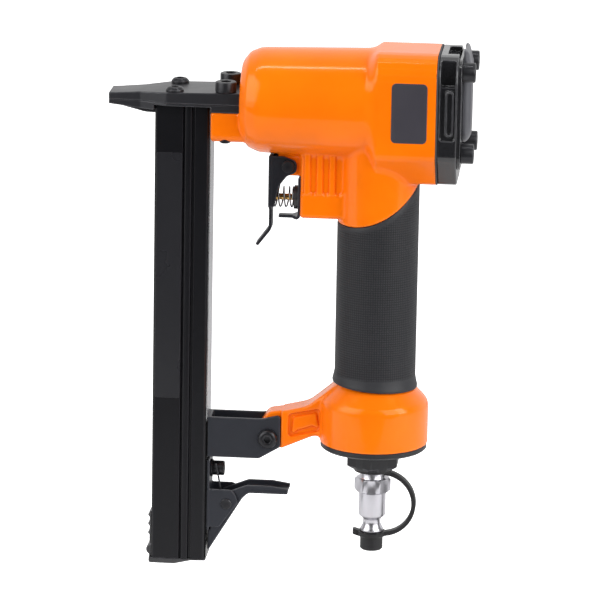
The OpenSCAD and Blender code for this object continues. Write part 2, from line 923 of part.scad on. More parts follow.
module nose_screws() {
  color(steel) for (s = [-1, 1]) translate([nose_screw_x, s * nose_screw_y, 0]) difference() {
    union() {
      rod_z(2, z_mag_top + side_gap, z_plate);
      turned_z([
        [0, z_plate - 0.4],
        [3.9, z_plate - 0.4],
        [3.9, z_plate + 0.4],
        [2.6, z_plate + 1.7],
        [0, z_plate + 1.7]
      ]);
    }
    rod_z(1.7, z_plate + 0.5, z_plate + 2, $fn = 6);
  }
}
module nose_bolts() {
  color(black) for (s = [-1, 1]) translate([nose_bolt_x, s * nose_bolt_y, 0]) difference() {
    union() {
      rod_z(nose_bolt_r, z_tongue - 0.4, z_plate + 1);
      rod_z(4.25, z_plate, z_plate + 4.6);
    }
    rod_z(2.3, z_plate + 2, z_plate + 6, $fn = 6);
  }
}

// Magazine: a hollow section with grooved sides, closed at the back by a bright strip
function magazine_plan() =
  let (w = mag_w / 2, g = 0.9)
  [
    [mag_front, -w + 0.8],
    [mag_front + 0.8, -w],
    each groove_points(-w, g),
    [mag_back - 0.8, -w],
    [mag_back, -w + 0.8],
    [mag_back, w - 0.8],
    [mag_back - 0.8, w],
    each reverse_points(groove_points(w, -g)),
    [mag_front + 0.8, w],
    [mag_front, w - 0.8]
  ];
function groove_points(y, g) =
  [
    for (s = [[12.3, 1], [16.2, 1.4]])
      each [
        [mag_front + s[0], y],
        [mag_front + s[0] + 0.2, y + g],
        [mag_front + s[0] + s[1] - 0.2, y + g],
        [mag_front + s[0] + s[1], y]
      ]
  ];
function reverse_points(p) = [for (i = [len(p) - 1:-1:0]) p[i]];
module magazine_channel() {
  color(black) difference() {
    plan_view(magazine_plan(), z_mag, z_mag_top);
    block([cavity_front, -cavity_w / 2, z_mag - 1], [cavity_back, cavity_w / 2, z_mag_top + 1]);
    rod_x(latch_screw_r + fit_gap, cavity_back - 1, mag_back + 1, 0, latch_screw_z);
    for (s = [-1, 1]) rod_x(1.6 + fit_gap, cavity_back - 1, mag_back + 1, 0, bolt_z + 5 * s);
  }
}
module magazine_face() {
  w = mag_w / 2;
  front = mag_front + face_edge;
  color(charcoal) block([front, -w - face_t, z_mag + face_low], [front + face_w, -w, z_mag_top - face_high]);
}
module backing_strip() {
  color(steel) difference() {
    block([mag_back, -mag_w / 2 + 0.9, z_mag + 0.5], [x_strip, mag_w / 2 - 0.9, z_mag_top - 0.2]);
    rod_x(latch_screw_r + fit_gap, mag_back - 1, x_strip + 1, 0, latch_screw_z);
    for (s = [-1, 1]) rod_x(1.6 + fit_gap, mag_back - 1, x_strip + 1, 0, bolt_z + 5 * s);
  }
}

// Drawer of the magazine: staple rail, guide rod and tail slide out downwards together
rivet_z = z_mag + spigot_h / 2;
module rail_form(grow = 0) {
  difference() {
    block(
      [rail_front - grow, -rail_w / 2 - grow, z_mag],
      [rail_back + grow, rail_w / 2 + grow, rail_top]
    );
    block(
      [rail_front - 1, -rail_w / 2 + rail_t + grow, z_mag - 1],
      [rail_back - rail_t - grow, rail_w / 2 - rail_t - grow, rail_top + 1]
    );
  }
}
module staple_rail() {
  color(steel) difference() {
    rail_form();
    rod_y(1.2 + fit_gap, -rail_w, rail_w, rail_front + 3.5, rivet_z);
  }
}
module rail_rivet() {
  color(steel) rod_y(1.2, -rail_w / 2, rail_w / 2, rail_front + 3.5, rivet_z);
}
module guide_rod() {
  color(steel) rod_z(rod_r, z_mag + spigot_h - 5, rod_top, rod_x_pos);
}
module pusher() {
  color(brass) difference() {
    block(
      [cavity_front + side_gap, -cavity_w / 2 + side_gap, pusher_low],
      [cavity_back - side_gap, cavity_w / 2 - side_gap, pusher_top]
    );
    rail_form(run_gap);
    rod_z(rod_r + run_gap, pusher_low - 1, pusher_top + 1, rod_x_pos);
  }
}
module pusher_spring() {
  spring_low = z_mag + spigot_h;
  color(steel) translate([rod_x_pos, 0, spring_low])
    coil(pusher_spring_r, pusher_low - spring_low, pusher_turns, pusher_wire);
}
module magazine_tail() {
  w = mag_w / 2;
  front = finger_x - finger_t;
  color(black) difference() {
    union() {
      side_view(
        rounded(
          [
            [front, z_mag],
            [x_strip, z_mag],
            [x_strip, z_mag - tail_t * 0.5],
            [mag_front + 14, z_mag - tail_t],
            [front, z_mag - tail_t]
          ],
          [0, 0, 0.5, 3, 1]
        ),
        -w, w
      );
      block([front, -finger_w / 2, z_mag - 1], [finger_x, finger_w / 2, z_mag + finger_h]);
      for (i = [1:3])
        rod_y(0.9, -finger_w / 2, finger_w / 2, front + 0.2, z_mag + finger_h + 2.2 - 4.1 * i);
      rod_y(2.6, -finger_w / 2, finger_w / 2, front + 1.2, z_mag + 2.9);
      block(
        [rail_front + 1, -rail_w / 2 + rail_t + fit_gap, z_mag - 1],
        [rail_back - rail_t - fit_gap, rail_w / 2 - rail_t - fit_gap, z_mag + spigot_h]
      );
    }
    rod_z(rod_r + fit_gap, z_mag + spigot_h - 5 - fit_gap, z_mag + spigot_h + 1, rod_x_pos);
    rod_y(1.2 + fit_gap, -rail_w, rail_w, rail_front + 3.5, rivet_z);
    block([finger_x, -w, z_mag], [rail_front + 1, w, z_mag + finger_h]);
  }
}

// Hanger: a steel channel that joins the magazine to the housing's arm
module hanger() {
  w = hanger_w / 2;
  color(charcoal) difference() {
    side_view(
      rounded(
        [
          [x_strip, hanger_low],
          [x_strip, hanger_top],
          [bolt_x - 3, hanger_top],
          [hanger_end, hanger_top + 2.1],
          [hanger_end, bolt_z - 3.8],
          [bolt_x - 3.8, hanger_low]
        ],
        [0, 0, 6, 1.5, 1.5, 3]
      ),
      -w, w
    );
    block([x_strip + hanger_t, -hanger_in, hanger_low - 1], [hanger_end + 1, hanger_in, hanger_top + 4]);
    rod_y(bolt_r + fit_gap, -w - 1, w + 1, bolt_x, bolt_z);
    for (s = [-1, 1])
      turned_x(
        [
          [x_strip - 1, 0],
          [x_strip - 1, 1.6 + fit_gap],
          [x_strip + 0.2, 1.6 + fit_gap],
          [x_strip + hanger_t + 0.1, 1.6 + fit_gap + hanger_t - 0.1],
          [x_strip + hanger_t + 0.1, 0]
        ],
        0, bolt_z + 5 * s
      );
  }
}
module hanger_screws() {
  color(steel) for (s = [-1, 1])
    turned_x(
      [
        [cavity_back + 0.2, 0],
        [cavity_back + 0.2, 1.6],
        [x_strip + 0.3, 1.6],
        [x_strip + hanger_t, 1.5 + hanger_t - 0.2],
        [x_strip + hanger_t, 0]
      ],
      0, bolt_z + 5 * s
    );
}
module hanger_bolt() {
  w = hanger_w / 2;
  color(black) difference() {
    translate([bolt_x, 0, bolt_z]) rotate([-90, 0, 0]) rotate_extrude() polygon(
      [
        [0, w + 4.6],
        [bolt_r, w + 4.6],
        [bolt_r, -w],
        [4.3, -w],
        [4.3, -w - 0.8],
        [2.8, -w - 2.6],
        [0, -w - 2.6]
      ]
    );
    rod_y(1.75, -w - 3, -w - 0.6, bolt_x, bolt_z, $fn = 6);
  }
}
module hanger_nut() {
  w = hanger_w / 2;
  color(steel) difference() {
    rod_y(4.6, w, w + 4, bolt_x, bolt_z, $fn = 6);
    rod_y(bolt_r + fit_gap, w - 1, w + 5, bolt_x, bolt_z);
  }
}

// Latch that holds the drawer shut
module latch_bracket() {
  top = latch_z + 6.4;
  foot = latch_z - 10.8;
  color(charcoal) difference() {
    union() {
      block([x_strip, -cheek_out, foot - 1], [plate_x, cheek_out, latch_screw_z + 5.5]);
      both_sides() side_view(
        rounded(
          [
            [x_strip, foot],
            [x_strip, top],
            [latch_x + 3, top],
            [latch_x + 5.4, latch_z + 1],
            [latch_x - 3, foot]
          ],
          [0, 1, 3.5, 3, 2]
        ),
        cheek_in, cheek_out
      );
    }
    rod_y(latch_pin_r + fit_gap, -10, 10, latch_x, latch_z);
    rod_x(latch_screw_r + fit_gap, x_strip - 1, plate_x + 1, 0, latch_screw_z);
  }
}
module latch_screw() {
  color(black) difference() {
    union() {
      rod_x(latch_screw_r, cavity_back + 0.1, plate_x + 1, 0, latch_screw_z);
      rod_x(4, plate_x, plate_x + 0.9, 0, latch_screw_z);
      rod_x(3.3, plate_x + 0.5, plate_x + 6, 0, latch_screw_z);
    }
    rod_x(1.8, plate_x + 3.4, plate_x + 7, 0, latch_screw_z, $fn = 6);
  }
}
module latch_pin() {
  color(steel) union() {
    rod_y(latch_pin_r, -cheek_out - 0.2, cheek_out + 0.2, latch_x, latch_z);
    both_sides() rod_y(2.4, cheek_out, cheek_out + 0.7, latch_x, latch_z);
  }
}
module latch_spring() {
  length = 2 * lever_in - 2.4;
  leg = latch_screw_z - latch_z - 4;
  color(steel) union() {
    translate([latch_x, length / 2, latch_z]) rotate([90, 0, 0])
      coil(coil_r, length, coil_turns, coil_wire);
    translate([latch_x - coil_r, length / 2 - coil_wire * 2.2, latch_z])
      rotate([0, -11, 0]) cylinder(d = coil_wire, h = leg);
  }
}
module latch_lever() {
  t = latch_t;
  pad_top = latch_z + 8.5;
  tip_top = pad_top - t;
  flange_low = pad_top - 3.4;
  heel = [latch_x + 2, latch_z + 5.8];
  crest = [latch_x + 8.8, pad_top];
  run_out = lever_tip - 8;
  knee = [latch_x + 7, latch_z + 2.6];
  toe = [x_strip + 1, latch_z - 20];
  plate_gap = plate_x + 0.5;
  color(charcoal) difference() {
    union() {
      side_view(
        rounded(
          [
            heel,
            crest,
            [run_out, pad_top],
            [lever_tip, tip_top],
            [lever_tip, tip_top - t],
            [run_out, pad_top - t],
            [crest[0] + 0.4, pad_top - t],
            [heel[0] + 0.4, heel[1] - t]
          ],
          [0, 4, 8, 0.3, 0.3, 8, 3, 0]
        ),
        -lever_out, lever_out
      );
      side_view(
        [knee, [toe[0] + t, toe[1]], [toe[0], toe[1] + 0.6], [knee[0] - t, knee[1] + 0.6]],
        -lever_out, lever_out
      );
      both_sides() side_view(
        rounded(
          [
            [latch_x - 3.6, latch_z + 3.6],
            heel,
            crest,
            [run_out, pad_top],
            [lever_tip, tip_top],
            [lever_tip - 0.6, flange_low],
            [crest[0] + 0.8, flange_low],
            knee,
            [toe[0] + t, toe[1]],
            [toe[0], toe[1] + 0.6],
            [x_strip + 0.7, latch_z - 13],
            [plate_gap, latch_z - 12.3],
            [plate_gap, latch_z - 6]
          ],
          [3, 1, 4, 8, 0.3, 0.8, 3, 4, 0, 0, 0, 0, 3]
        ),
        lever_in, lever_out
      );
    }
    rod_y(latch_pin_r + run_gap, -cheek_out, cheek_out, latch_x, latch_z);
  }
}

// Trigger and the valve that it works
module trigger() {
  w = trigger_w / 2;
  back = web_x + trigger_t;
  color(charcoal) difference() {
    union() {
      side_view(
        rounded(
          [
            [web_x, ear_low + 1],
            [back, ear_low + 1],
            [back, trigger_bend],
            [web_x - 4.6, trigger_tip - 0.8],
            [web_x - 5.8, trigger_tip],
            [web_x, trigger_bend + 0.8]
          ],
          [0, 0, 5, 0.4, 0.4, 4]
        ),
        -pull_w / 2, pull_w / 2
      );
      block([web_x, -w, ear_low], [back, w, trigger_top]);
      both_sides() side_view(
        rounded(
          [
            [web_x, trigger_top],
            [pivot_x - 2, trigger_top],
            [pivot_x + ear_r - 0.6, pivot_z + 2.4],
            [pivot_x + ear_r - 0.6, pivot_z - 2.4],
            [pivot_x - 0.5, pivot_z - ear_r],
            [web_x + 4.4, pivot_z - 9],
            [web_x + 2.6, ear_low],
            [web_x, ear_low]
          ],
          [0, 2, 3, 2.5, 2.5, 4, 1, 0]
        ),
        ear_in, w
      );
    }
    rod_y(pivot_r + run_gap, -w - 1, w + 1, pivot_x, pivot_z);
  }
}
module trigger_pin() {
  w = trigger_w / 2 + side_gap;
  color(steel) union() {
    rod_y(pivot_r, -w - 0.5, w + 0.5, pivot_x, pivot_z);
    both_sides() rod_y(2.7, w, w + 0.9, pivot_x, pivot_z);
  }
}
module trigger_spring() {
  seat = web_x + trigger_t + 0.1;
  color(steel) translate([seat, 0, valve_z]) rotate([0, 90, 0])
    coil(trigger_spring_r, x_stop - bush_flange_t - seat, trigger_turns, trigger_wire);
}
module stop_plate() {
  color(charcoal) difference() {
    union() {
      block([x_stop, -stop_w / 2, stop_low - stop_t], [x_boss, stop_w / 2, stop_top]);
      block([stop_lead, -stop_tab_w / 2, stop_low - stop_t], [x_stop + stop_t / 2, stop_tab_w / 2, stop_low]);
    }
    rod_x(bush_r + fit_gap, x_stop - 1, x_boss + 1, 0, valve_z);
  }
}
bush_seals = [x_boss + 3.4, x_boss + 15.6];
module valve_bush() {
  color(black) difference() {
    union() {
      rod_x(bush_r, x_stop - 1, bush_end, 0, valve_z);
      rod_x(bush_flange_r, x_stop - bush_flange_t, x_stop, 0, valve_z);
    }
    rod_x(stem_r + run_gap, x_stop - 5, bush_end + 1, 0, valve_z);
    rod_x(stem_collar_r + 0.3, stem_collar - 1, bush_end + 1, 0, valve_z);
    for (x = bush_seals) difference() {
      rod_x(bush_r + 1, x - 0.9, x + 0.9, 0, valve_z);
      rod_x(bush_r - 1.3, x - 2, x + 2, 0, valve_z);
    }
  }
}
module valve_seals() {
  color(seal_color) for (x = bush_seals) ring_x(bush_r - 0.65, 0.6, x, 0, valve_z);
}
module valve_stem() {
  color(brass) union() {
    rod_x(stem_r, stem_tip, stem_collar + 4.5, 0, valve_z);
    rod_x(stem_collar_r, stem_collar, stem_collar + stem_collar_t, 0, valve_z);
  }
}
module valve_spring() {
  seat = stem_collar + stem_collar_t;
  color(steel) translate([seat, 0, valve_z]) rotate([0, 90, 0])
    coil(2.4, bush_end + 0.1 - seat, 4, 0.6);
}

// Rubber grip round the handle
module grip() {
  lip = 0.9;
  color(rubber) difference() {
    turned_z(
      [
        [grip_r - grip_wall, z_grip],
        [grip_r + lip, z_grip],
        [grip_r + lip, z_grip + 1.4],
        [grip_r, z_grip + 5],
        [grip_r, sleeve_top],
        [grip_r - grip_wall, sleeve_top]
      ],
      handle_x
    );
    rod_y(scoop_r, -base_r, base_r, scoop_x, scoop_z);
  }
}

// End cap, air plug and its dust cap on a strap
module end_cap() {
  color(black) difference() {
    union() {
      turned_z(
        rounded(
          [
            [0, z_base + thread_len],
            [thread_r, z_base + thread_len],
            [thread_r, z_base],
            [base_r - 0.4, z_base],
            [base_r - 0.4, z_cap_rim],
            [cap_hex / 2 + 2, z_cap_low],
            [0, z_cap_low]
          ],
          [0, 0, 0, 0.5, 1, 1, 0]
        ),
        handle_x
      );
      intersection() {
        translate([handle_x, 0, 0]) rotate(30)
          translate([0, 0, z_hex]) cylinder(r = cap_hex / 2 / cos(30), h = z_cap_low - z_hex + 1, $fn = 6);
        turned_z(
          [
            [0, z_cap_low + 1],
            [cap_hex, z_cap_low + 1],
            [cap_hex, z_hex + 4],
            [cap_hex / 2 - 1.6, z_hex],
            [0, z_hex]
          ],
          handle_x
        );
      }
    }
    rod_z(plug_r + fit_gap, z_hex - 1, z_hex + 10, handle_x);
    rod_z(4, z_hex, z_base + thread_len + 1, handle_x);
    rod_z(thread_r - 3, z_base - 1, z_base + thread_len + 1, handle_x);
    difference() {
      rod_z(thread_r + 1, z_base + 3, z_base + 5.4, handle_x);
      rod_z(thread_r - 1.7, z_base, z_base + 8, handle_x);
    }
  }
}
module end_cap_seal() {
  color(seal_color) translate([handle_x, 0, z_base + 4.2])
    rotate_extrude() translate([thread_r - 0.85, 0]) circle(0.8);
}
module air_plug() {
  color(chrome) difference() {
    union() {
      turned_z(
        [
          [0, z_hex + 9],
          [plug_r, z_hex + 9],
          [plug_r, z_plug_seat],
          [plug_r + 0.7, z_plug_seat],
          [plug_r + 0.7, z_plug_hex],
          [plug_r, z_plug_hex],
          [plug_r, z_plug_end],
          [nipple_r, z_neck],
          [nipple_r, z_collar + 1.8],
          [plug_r - 0.4, z_collar + 0.5],
          [plug_r - 0.4, z_collar - 1],
          [nipple_r, z_collar - 1],
          [nipple_r, z_dust - nipple_len],
          [0, z_dust - nipple_len]
        ],
        handle_x
      );
      translate([handle_x, 0, z_plug_body])
        cylinder(r = plug_hex / 2 / cos(30), h = z_plug_hex - z_plug_body, $fn = 6);
    }
    rod_z(plug_bore_r, z_dust - nipple_len - 1, z_hex + 10, handle_x);
  }
}
module dust_cap() {
  color(seal_color) difference() {
    union() {
      rod_z(dust_flange_r, z_dust - strap_t, z_dust, handle_x);
      rod_z(dust_r, z_dust - dust_len, z_dust - strap_t, handle_x);
      block(
        [handle_x - dust_flange_r - 2, -2, z_dust - strap_t],
        [handle_x - dust_flange_r + 1, 2, z_dust]
      );
    }
    rod_z(nipple_r + run_gap, z_dust - nipple_len - 0.3, z_dust + 1, handle_x);
    block(
      [strap_x, -dust_flange_r, z_dust - strap_t],
      [handle_x + dust_flange_r + 1, dust_flange_r, z_dust + 1]
    );
  }
}
module cap_strap() {
  color(seal_color) union() {
    difference() {
      rod_z(strap_ring_r, z_plug_seat, z_hex, handle_x);
      rod_z(plug_r + fit_gap, z_plug_seat - 1, z_hex + 1, handle_x);
    }
    difference() {
      rod_y(strap_bow + strap_t / 2, -strap_w / 2, strap_w / 2, strap_x, strap_mid);
      rod_y(strap_bow - strap_t / 2, -strap_w, strap_w, strap_x, strap_mid);
      block(
        [strap_x - 2 * strap_bow, -strap_w, strap_mid - 2 * strap_bow],
        [strap_x, strap_w, strap_mid + 2 * strap_bow]
      );
      rod_z(plug_r + 0.7 + fit_gap, z_plug_seat - 1, z_hex + 1, handle_x);
      rod_z(plug_r + 1, z_hex, z_hex + 3, handle_x);
    }
  }
}

echo(trigger_spring_gap = coil_gap(
  coil_path(trigger_spring_r, x_stop - bush_flange_t - web_x - trigger_t - 0.1, trigger_turns, trigger_wire),
  trigger_wire
));

housing();
cylinder_liner();
liner_seal();
bumper();
piston();
piston_seal();
driver_blade();
driver_pin();
head_valve();
head_valve_seal();
head_valve_spring();
cap_gasket();
rear_cap();
exhaust_plate();
exhaust_hood();
cap_screws();
side_pad();
nose_plate();
driver_guide();
nose_screws();
nose_bolts();
magazine_channel();
magazine_face();
backing_strip();
staple_rail();
rail_rivet();
guide_rod();
pusher();
pusher_spring();
magazine_tail();
hanger();
hanger_screws();
hanger_bolt();
hanger_nut();
latch_bracket();
latch_screw();
latch_pin();
latch_spring();
latch_lever();
trigger();
trigger_pin();
trigger_spring();
stop_plate();
valve_bush();
valve_seals();
valve_stem();
valve_spring();
grip();
end_cap();
end_cap_seal();
air_plug();
dust_cap();
cap_strap();
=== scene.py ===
"""Pneumatic upholstery stapler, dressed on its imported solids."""
import math

import bpy
import numpy as np
from mathutils import Matrix


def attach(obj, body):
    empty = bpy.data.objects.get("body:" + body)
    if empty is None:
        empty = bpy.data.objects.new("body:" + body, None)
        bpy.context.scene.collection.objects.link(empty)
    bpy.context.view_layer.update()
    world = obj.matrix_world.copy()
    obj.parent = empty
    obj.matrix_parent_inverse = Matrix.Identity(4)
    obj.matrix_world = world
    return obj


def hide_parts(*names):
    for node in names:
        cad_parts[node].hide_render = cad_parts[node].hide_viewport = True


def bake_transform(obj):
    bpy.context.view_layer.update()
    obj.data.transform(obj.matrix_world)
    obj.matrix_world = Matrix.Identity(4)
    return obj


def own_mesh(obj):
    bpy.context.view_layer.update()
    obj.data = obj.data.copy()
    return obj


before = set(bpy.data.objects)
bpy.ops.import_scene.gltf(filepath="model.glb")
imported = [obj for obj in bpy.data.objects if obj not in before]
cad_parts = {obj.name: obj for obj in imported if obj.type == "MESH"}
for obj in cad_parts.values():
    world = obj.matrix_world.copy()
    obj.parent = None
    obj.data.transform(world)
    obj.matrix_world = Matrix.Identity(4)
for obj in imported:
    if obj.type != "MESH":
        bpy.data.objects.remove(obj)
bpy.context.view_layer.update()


# Housing: one aluminium die casting with the barrel, six-sided head, trigger housing, handle, base and
# the arm that carries the magazine. Gloss orange paint, baked on, with soft cast edges throughout.
def rounded(corners, radii, turns=7):
    """Outline with round corners: each corner gives way to an arc of its radius that touches both
    its sides."""
    corners, rim = np.asarray(corners, float), []
    radii = np.broadcast_to(radii, len(corners))
    around = zip(np.roll(corners, 1, 0), corners, np.roll(corners, -1, 0), radii)
    for before, corner, after, radius in around:
        if radius <= 0:
            rim.append(corner[None])
            continue
        a, b = before - corner, after - corner
        a, b = a / np.linalg.norm(a), b / np.linalg.norm(b)
        half = math.acos(np.clip(a @ b, -1, 1)) / 2
        middle = corner + (a + b) / np.linalg.norm(a + b) * radius / math.sin(half)
        start, end = (corner + side * radius / math.tan(half) - middle for side in (a, b))
        sweep, t = math.pi - 2 * half, np.linspace(0, 1, turns)[:, None]
        rim.append(middle + (np.sin((1 - t) * sweep) * start + np.sin(t * sweep) * end) / math.sin(sweep))
    return np.concatenate(rim)


def gap(u, v, outline):
    """Distance from (u, v) to the nearest side of a closed outline, negative inside it."""
    nearest, inside = np.inf, False
    for (pu, pv), (qu, qv) in zip(outline, np.roll(outline, -1, 0)):
        du, dv = qu - pu, qv - pv
        along = np.clip(((u - pu) * du + (v - pv) * dv) / (du * du + dv * dv + 1e-12), 0, 1)
        nearest = np.minimum(nearest, (u - pu - along * du) ** 2 + (v - pv - along * dv) ** 2)
        inside = inside ^ (((pv > v) != (qv > v)) & (u < pu + (v - pv) * du / (dv or 1)))
    return np.where(inside, -1, 1) * np.sqrt(nearest)


def both(a, b, edge):
    """Distance of what lies inside two distances, their common edge turned to a round of this radius."""
    a, b = a + edge, b + edge
    return np.minimum(np.maximum(a, b), 0) + np.hypot(np.maximum(a, 0), np.maximum(b, 0)) - edge


def block(x, y, z, middle, half, edge, rim):
    """Distance of a block about its middle: the half widths in x and y meet in edges of one radius,
    and the half height closes it with rims of another."""
    u, v, w = (np.abs(at - centre) - reach for at, centre, reach in zip((x, y, z), middle, half))
    return both(both(u, v, edge), w, rim)


def join(a, b, fillet):
    """Union of two distances, with a fillet that fades out where they differ by its size."""
    share = np.maximum(fillet - np.abs(a - b), 0) / fillet
    return np.minimum(a, b) - share * share * fillet / 4


def cut(a, b, edge):
    """Distance a with b taken away and the rim eased."""
    return -join(-a, b, edge)


def eased(share):
    """Smooth step from nought to one: three times the square of the share less twice its cube."""
    share = np.clip(share, 0, 1)
    return share * share * (3 - 2 * share)


def stations(start, *runs):
    """Grid stations from start through runs of (end, step)."""
    marks = [[start]]
    for end, step in runs:
        marks.append(np.linspace(start, end, max(1, round((end - start) / step)) + 1)[1:])
        start = end
    return np.concatenate(marks)


def unit_rows(rows):
    """Rows brought to length one."""
    return rows / np.maximum(np.linalg.norm(rows, axis=1, keepdims=True), 1e-9)


def cast(form, *axes):
    """Skin of a solid given as a distance of (x, y, z). Every grid cell that the surface passes
    through gets a point at the mean of the crossings on its edges, and four such cells round a
    crossed edge make a face. Each point then moves down the slope of the distance onto the surface,
    and the slope there is its normal."""
    shape = tuple(len(a) for a in axes)
    depth = np.array(np.broadcast_to(form(*np.ix_(*axes)), shape))
    inside = depth < 0
    corners = [inside[i:shape[0] - 1 + i, j:shape[1] - 1 + j, k:shape[2] - 1 + k]
               for i in (0, 1) for j in (0, 1) for k in (0, 1)]
    filled = np.sum(corners, 0, dtype=np.int8)
    cells = np.argwhere((filled > 0) & (filled < 8))
    number = np.zeros(filled.shape, np.int32)
    number[tuple(cells.T)] = np.arange(len(cells))
    points, hits, faces = np.zeros((len(cells), 3)), np.zeros((len(cells), 1)), []
    unit = np.eye(3, dtype=int)
    for k in range(3):
        u, v = unit[(k + 1) % 3], unit[(k + 2) % 3]
        for corner in (0 * u, u, v, u + v):
            low, high = cells + corner, cells + corner + unit[k]
            a, b = depth[tuple(low.T)], depth[tuple(high.T)]
            hit = ((a < 0) != (b < 0))[:, None]
            share = (a / np.where(hit[:, 0], a - b, 1))[:, None]
            start, end = (np.stack([axes[n][at[:, n]] for n in range(3)], 1) for at in (low, high))
            points += np.where(hit, start + share * (end - start), 0)
            hits += hit
        edges = np.argwhere(np.diff(inside, axis=k))
        edges = edges[np.all((edges >= u + v) & (edges < np.array(shape) - u - v), 1)]
        ring = np.stack([number[tuple((edges - shift).T)] for shift in (u + v, v, 0 * u, u)], 1)
        outward = inside[tuple(edges.T)]
        faces.append(np.where(outward[:, None], ring, ring[:, ::-1]))
    points /= hits
    reach = 0.45 * min(np.diff(a).min() for a in axes)
    probe = 0.04
    for _ in range(3):
        slope = np.stack([form(*(points + step).T) - form(*(points - step).T) for step in probe * unit], 1)
        slope /= 2 * probe
        move = -(form(*points.T) / np.maximum((slope ** 2).sum(1), 0.25))[:, None] * slope
        points += move * np.minimum(1, reach / np.maximum(np.linalg.norm(move, axis=1, keepdims=True), 1e-9))
    return points, faces, unit_rows(slope)


def piece(name, points, faces, normals=None, crease=40):
    """Mesh object of points and of arrays of faces. Its 'edge' attribute is the mean bend of the skin
    round each point, above zero on outer edges: how far neighbours fall behind the tangent plane over
    their distance squared."""
    mesh = bpy.data.meshes.new(name)
    loops = np.concatenate([f.ravel() for f in faces]).astype(np.int32)
    sizes = np.concatenate([np.full(len(f), f.shape[1], np.int32) for f in faces])
    mesh.vertices.add(len(points))
    mesh.vertices.foreach_set("co", (points * 0.001).astype(np.float32).ravel())
    mesh.loops.add(len(loops))
    mesh.loops.foreach_set("vertex_index", loops)
    mesh.polygons.add(len(sizes))
    mesh.polygons.foreach_set("loop_start", (np.cumsum(sizes) - sizes).astype(np.int32))
    mesh.update(calc_edges=True)
    mesh.polygons.foreach_set("use_smooth", np.ones(len(sizes), bool))
    if normals is None:
        mesh.set_sharp_from_angle(angle=math.radians(crease))
        normals = np.empty((len(points), 3), np.float32)
        mesh.vertex_normals.foreach_get("vector", normals.ravel())
    else:
        mesh.normals_split_custom_set_from_vertices(normals)
    ends = np.empty(2 * len(mesh.edges), np.int32)
    mesh.edges.foreach_get("vertices", ends)
    a, b = ends.reshape(-1, 2).T
    step = points[b] - points[a]
    length = np.maximum((step ** 2).sum(1), 1e-6)
    bend = np.bincount(a, -(step * normals[a]).sum(1) / length, len(points))
    bend += np.bincount(b, (step * normals[b]).sum(1) / length, len(points))
    bend /= np.maximum(np.bincount(ends, minlength=len(points)), 1)
    edge = mesh.attributes.new("edge", "FLOAT", "POINT")
    edge.data.foreach_set("value", np.clip(bend, -1, 1).astype(np.float32))
    made = bpy.data.objects.new(name, mesh)
    bpy.context.scene.collection.objects.link(made)
    return made


def fit(name, skin, body, solid, slot, material, crease=40):
    """Piece of a skin, with the body it rides on, the solid it stands for and its material; the slot is not
    used.
    """
    made = piece(name, *skin, crease=crease)
    made.data.materials.append(material)
    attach(made, body)
    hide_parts(solid)
    return made


def node(tree, kind, inputs=(), **settings):
    """New shader node; an input is given a value, or a link when it is a socket. Returns the outputs."""
    made = tree.nodes.new("ShaderNode" + kind)
    for label, value in settings.items():
        setattr(made, label, value)
    for label, value in dict(inputs).items():
        if isinstance(value, bpy.types.NodeSocket):
            tree.links.new(value, made.inputs[label])
        else:
            made.inputs[label].default_value = value
    return made.outputs


def worked(tree, kind, a, b, **settings):
    """Result of a Math node on two inputs."""
    return node(tree, "Math", {0: a, 1: b}, operation=kind, **settings)[0]


def ramp(tree, value, low, high, start=0.0, end=1.0):
    """Value carried in a straight line from low and high to start and end, and held beyond them."""
    limits = {"From Min": low, "From Max": high, "To Min": start, "To Max": end}
    return node(tree, "MapRange", {"Value": value, **limits})[0]


def mixed(tree, share, a, b, blend="MIX"):
    """Two colours mixed by a share. A Mix node has its colour inputs at 6 and 7 and its result at 2."""
    return node(tree, "Mix", {0: share, 6: a, 7: b}, data_type="RGBA", blend_type=blend)[2]


def effect(name, inputs, outputs):
    """Empty node group with named sockets, and the sockets inside it."""
    group = bpy.data.node_groups.new(name, "ShaderNodeTree")
    for label, kind in inputs.items():
        group.interface.new_socket(label, in_out="INPUT", socket_type="NodeSocket" + kind)
    for label, kind in outputs.items():
        group.interface.new_socket(label, in_out="OUTPUT", socket_type="NodeSocket" + kind)
    return group, group.nodes.new("NodeGroupInput").outputs, group.nodes.new("NodeGroupOutput").inputs


worn_and_highlit, given, out = effect(
    "worn_and_highlit_edges", {"Colour": "Color", "Worn Highlit": "Color", "Wear And Highlight": "Float", "Hollow Shade": "Float"},
    {"Colour": "Color"})
place = node(worn_and_highlit, "TexCoord")["Object"]
patch = node(worn_and_highlit, "TexNoise", {"Vector": place, "Scale": 260.0, "Detail": 4.0})["Fac"]
broad = node(worn_and_highlit, "TexNoise", {"Vector": place, "Scale": 40.0, "Detail": 3.0})["Fac"]
bend = node(worn_and_highlit, "Attribute", attribute_name="edge")["Fac"]
# Convex edges take the edge colour: partly real wear, partly painted highlight.
mask = worked(worn_and_highlit, "MULTIPLY", worked(worn_and_highlit, "MULTIPLY", bend, patch), given["Wear And Highlight"], use_clamp=True)
shade = ramp(worn_and_highlit, broad, 0.3, 0.7, 0.93, 1.07)
drifted = node(worn_and_highlit, "HueSaturation", {"Color": given["Colour"], "Value": shade})[0]
# Hollows are darkened and reddened here: painted shade.
hollow = worked(worn_and_highlit, "SUBTRACT", 0.0, worked(worn_and_highlit, "MULTIPLY", bend, given["Hollow Shade"]), use_clamp=True)
hollow_shaded = mixed(worn_and_highlit, hollow, drifted, (0.85, 0.5, 0.3, 1), "MULTIPLY")
worn_and_highlit.links.new(mixed(worn_and_highlit, mask, hollow_shaded, given["Worn Highlit"]), out["Colour"])

handled, given, out = effect(
    "handled_gloss", {"Low": "Float", "High": "Float", "Scale": "Float"}, {"Roughness": "Float"})
place = node(handled, "TexCoord")["Object"]
cloud = node(handled, "TexNoise", {"Vector": place, "Scale": given["Scale"], "Detail": 4.0})["Fac"]
handled.links.new(ramp(handled, cloud, 0.3, 0.7, given["Low"], given["High"]), out["Roughness"])

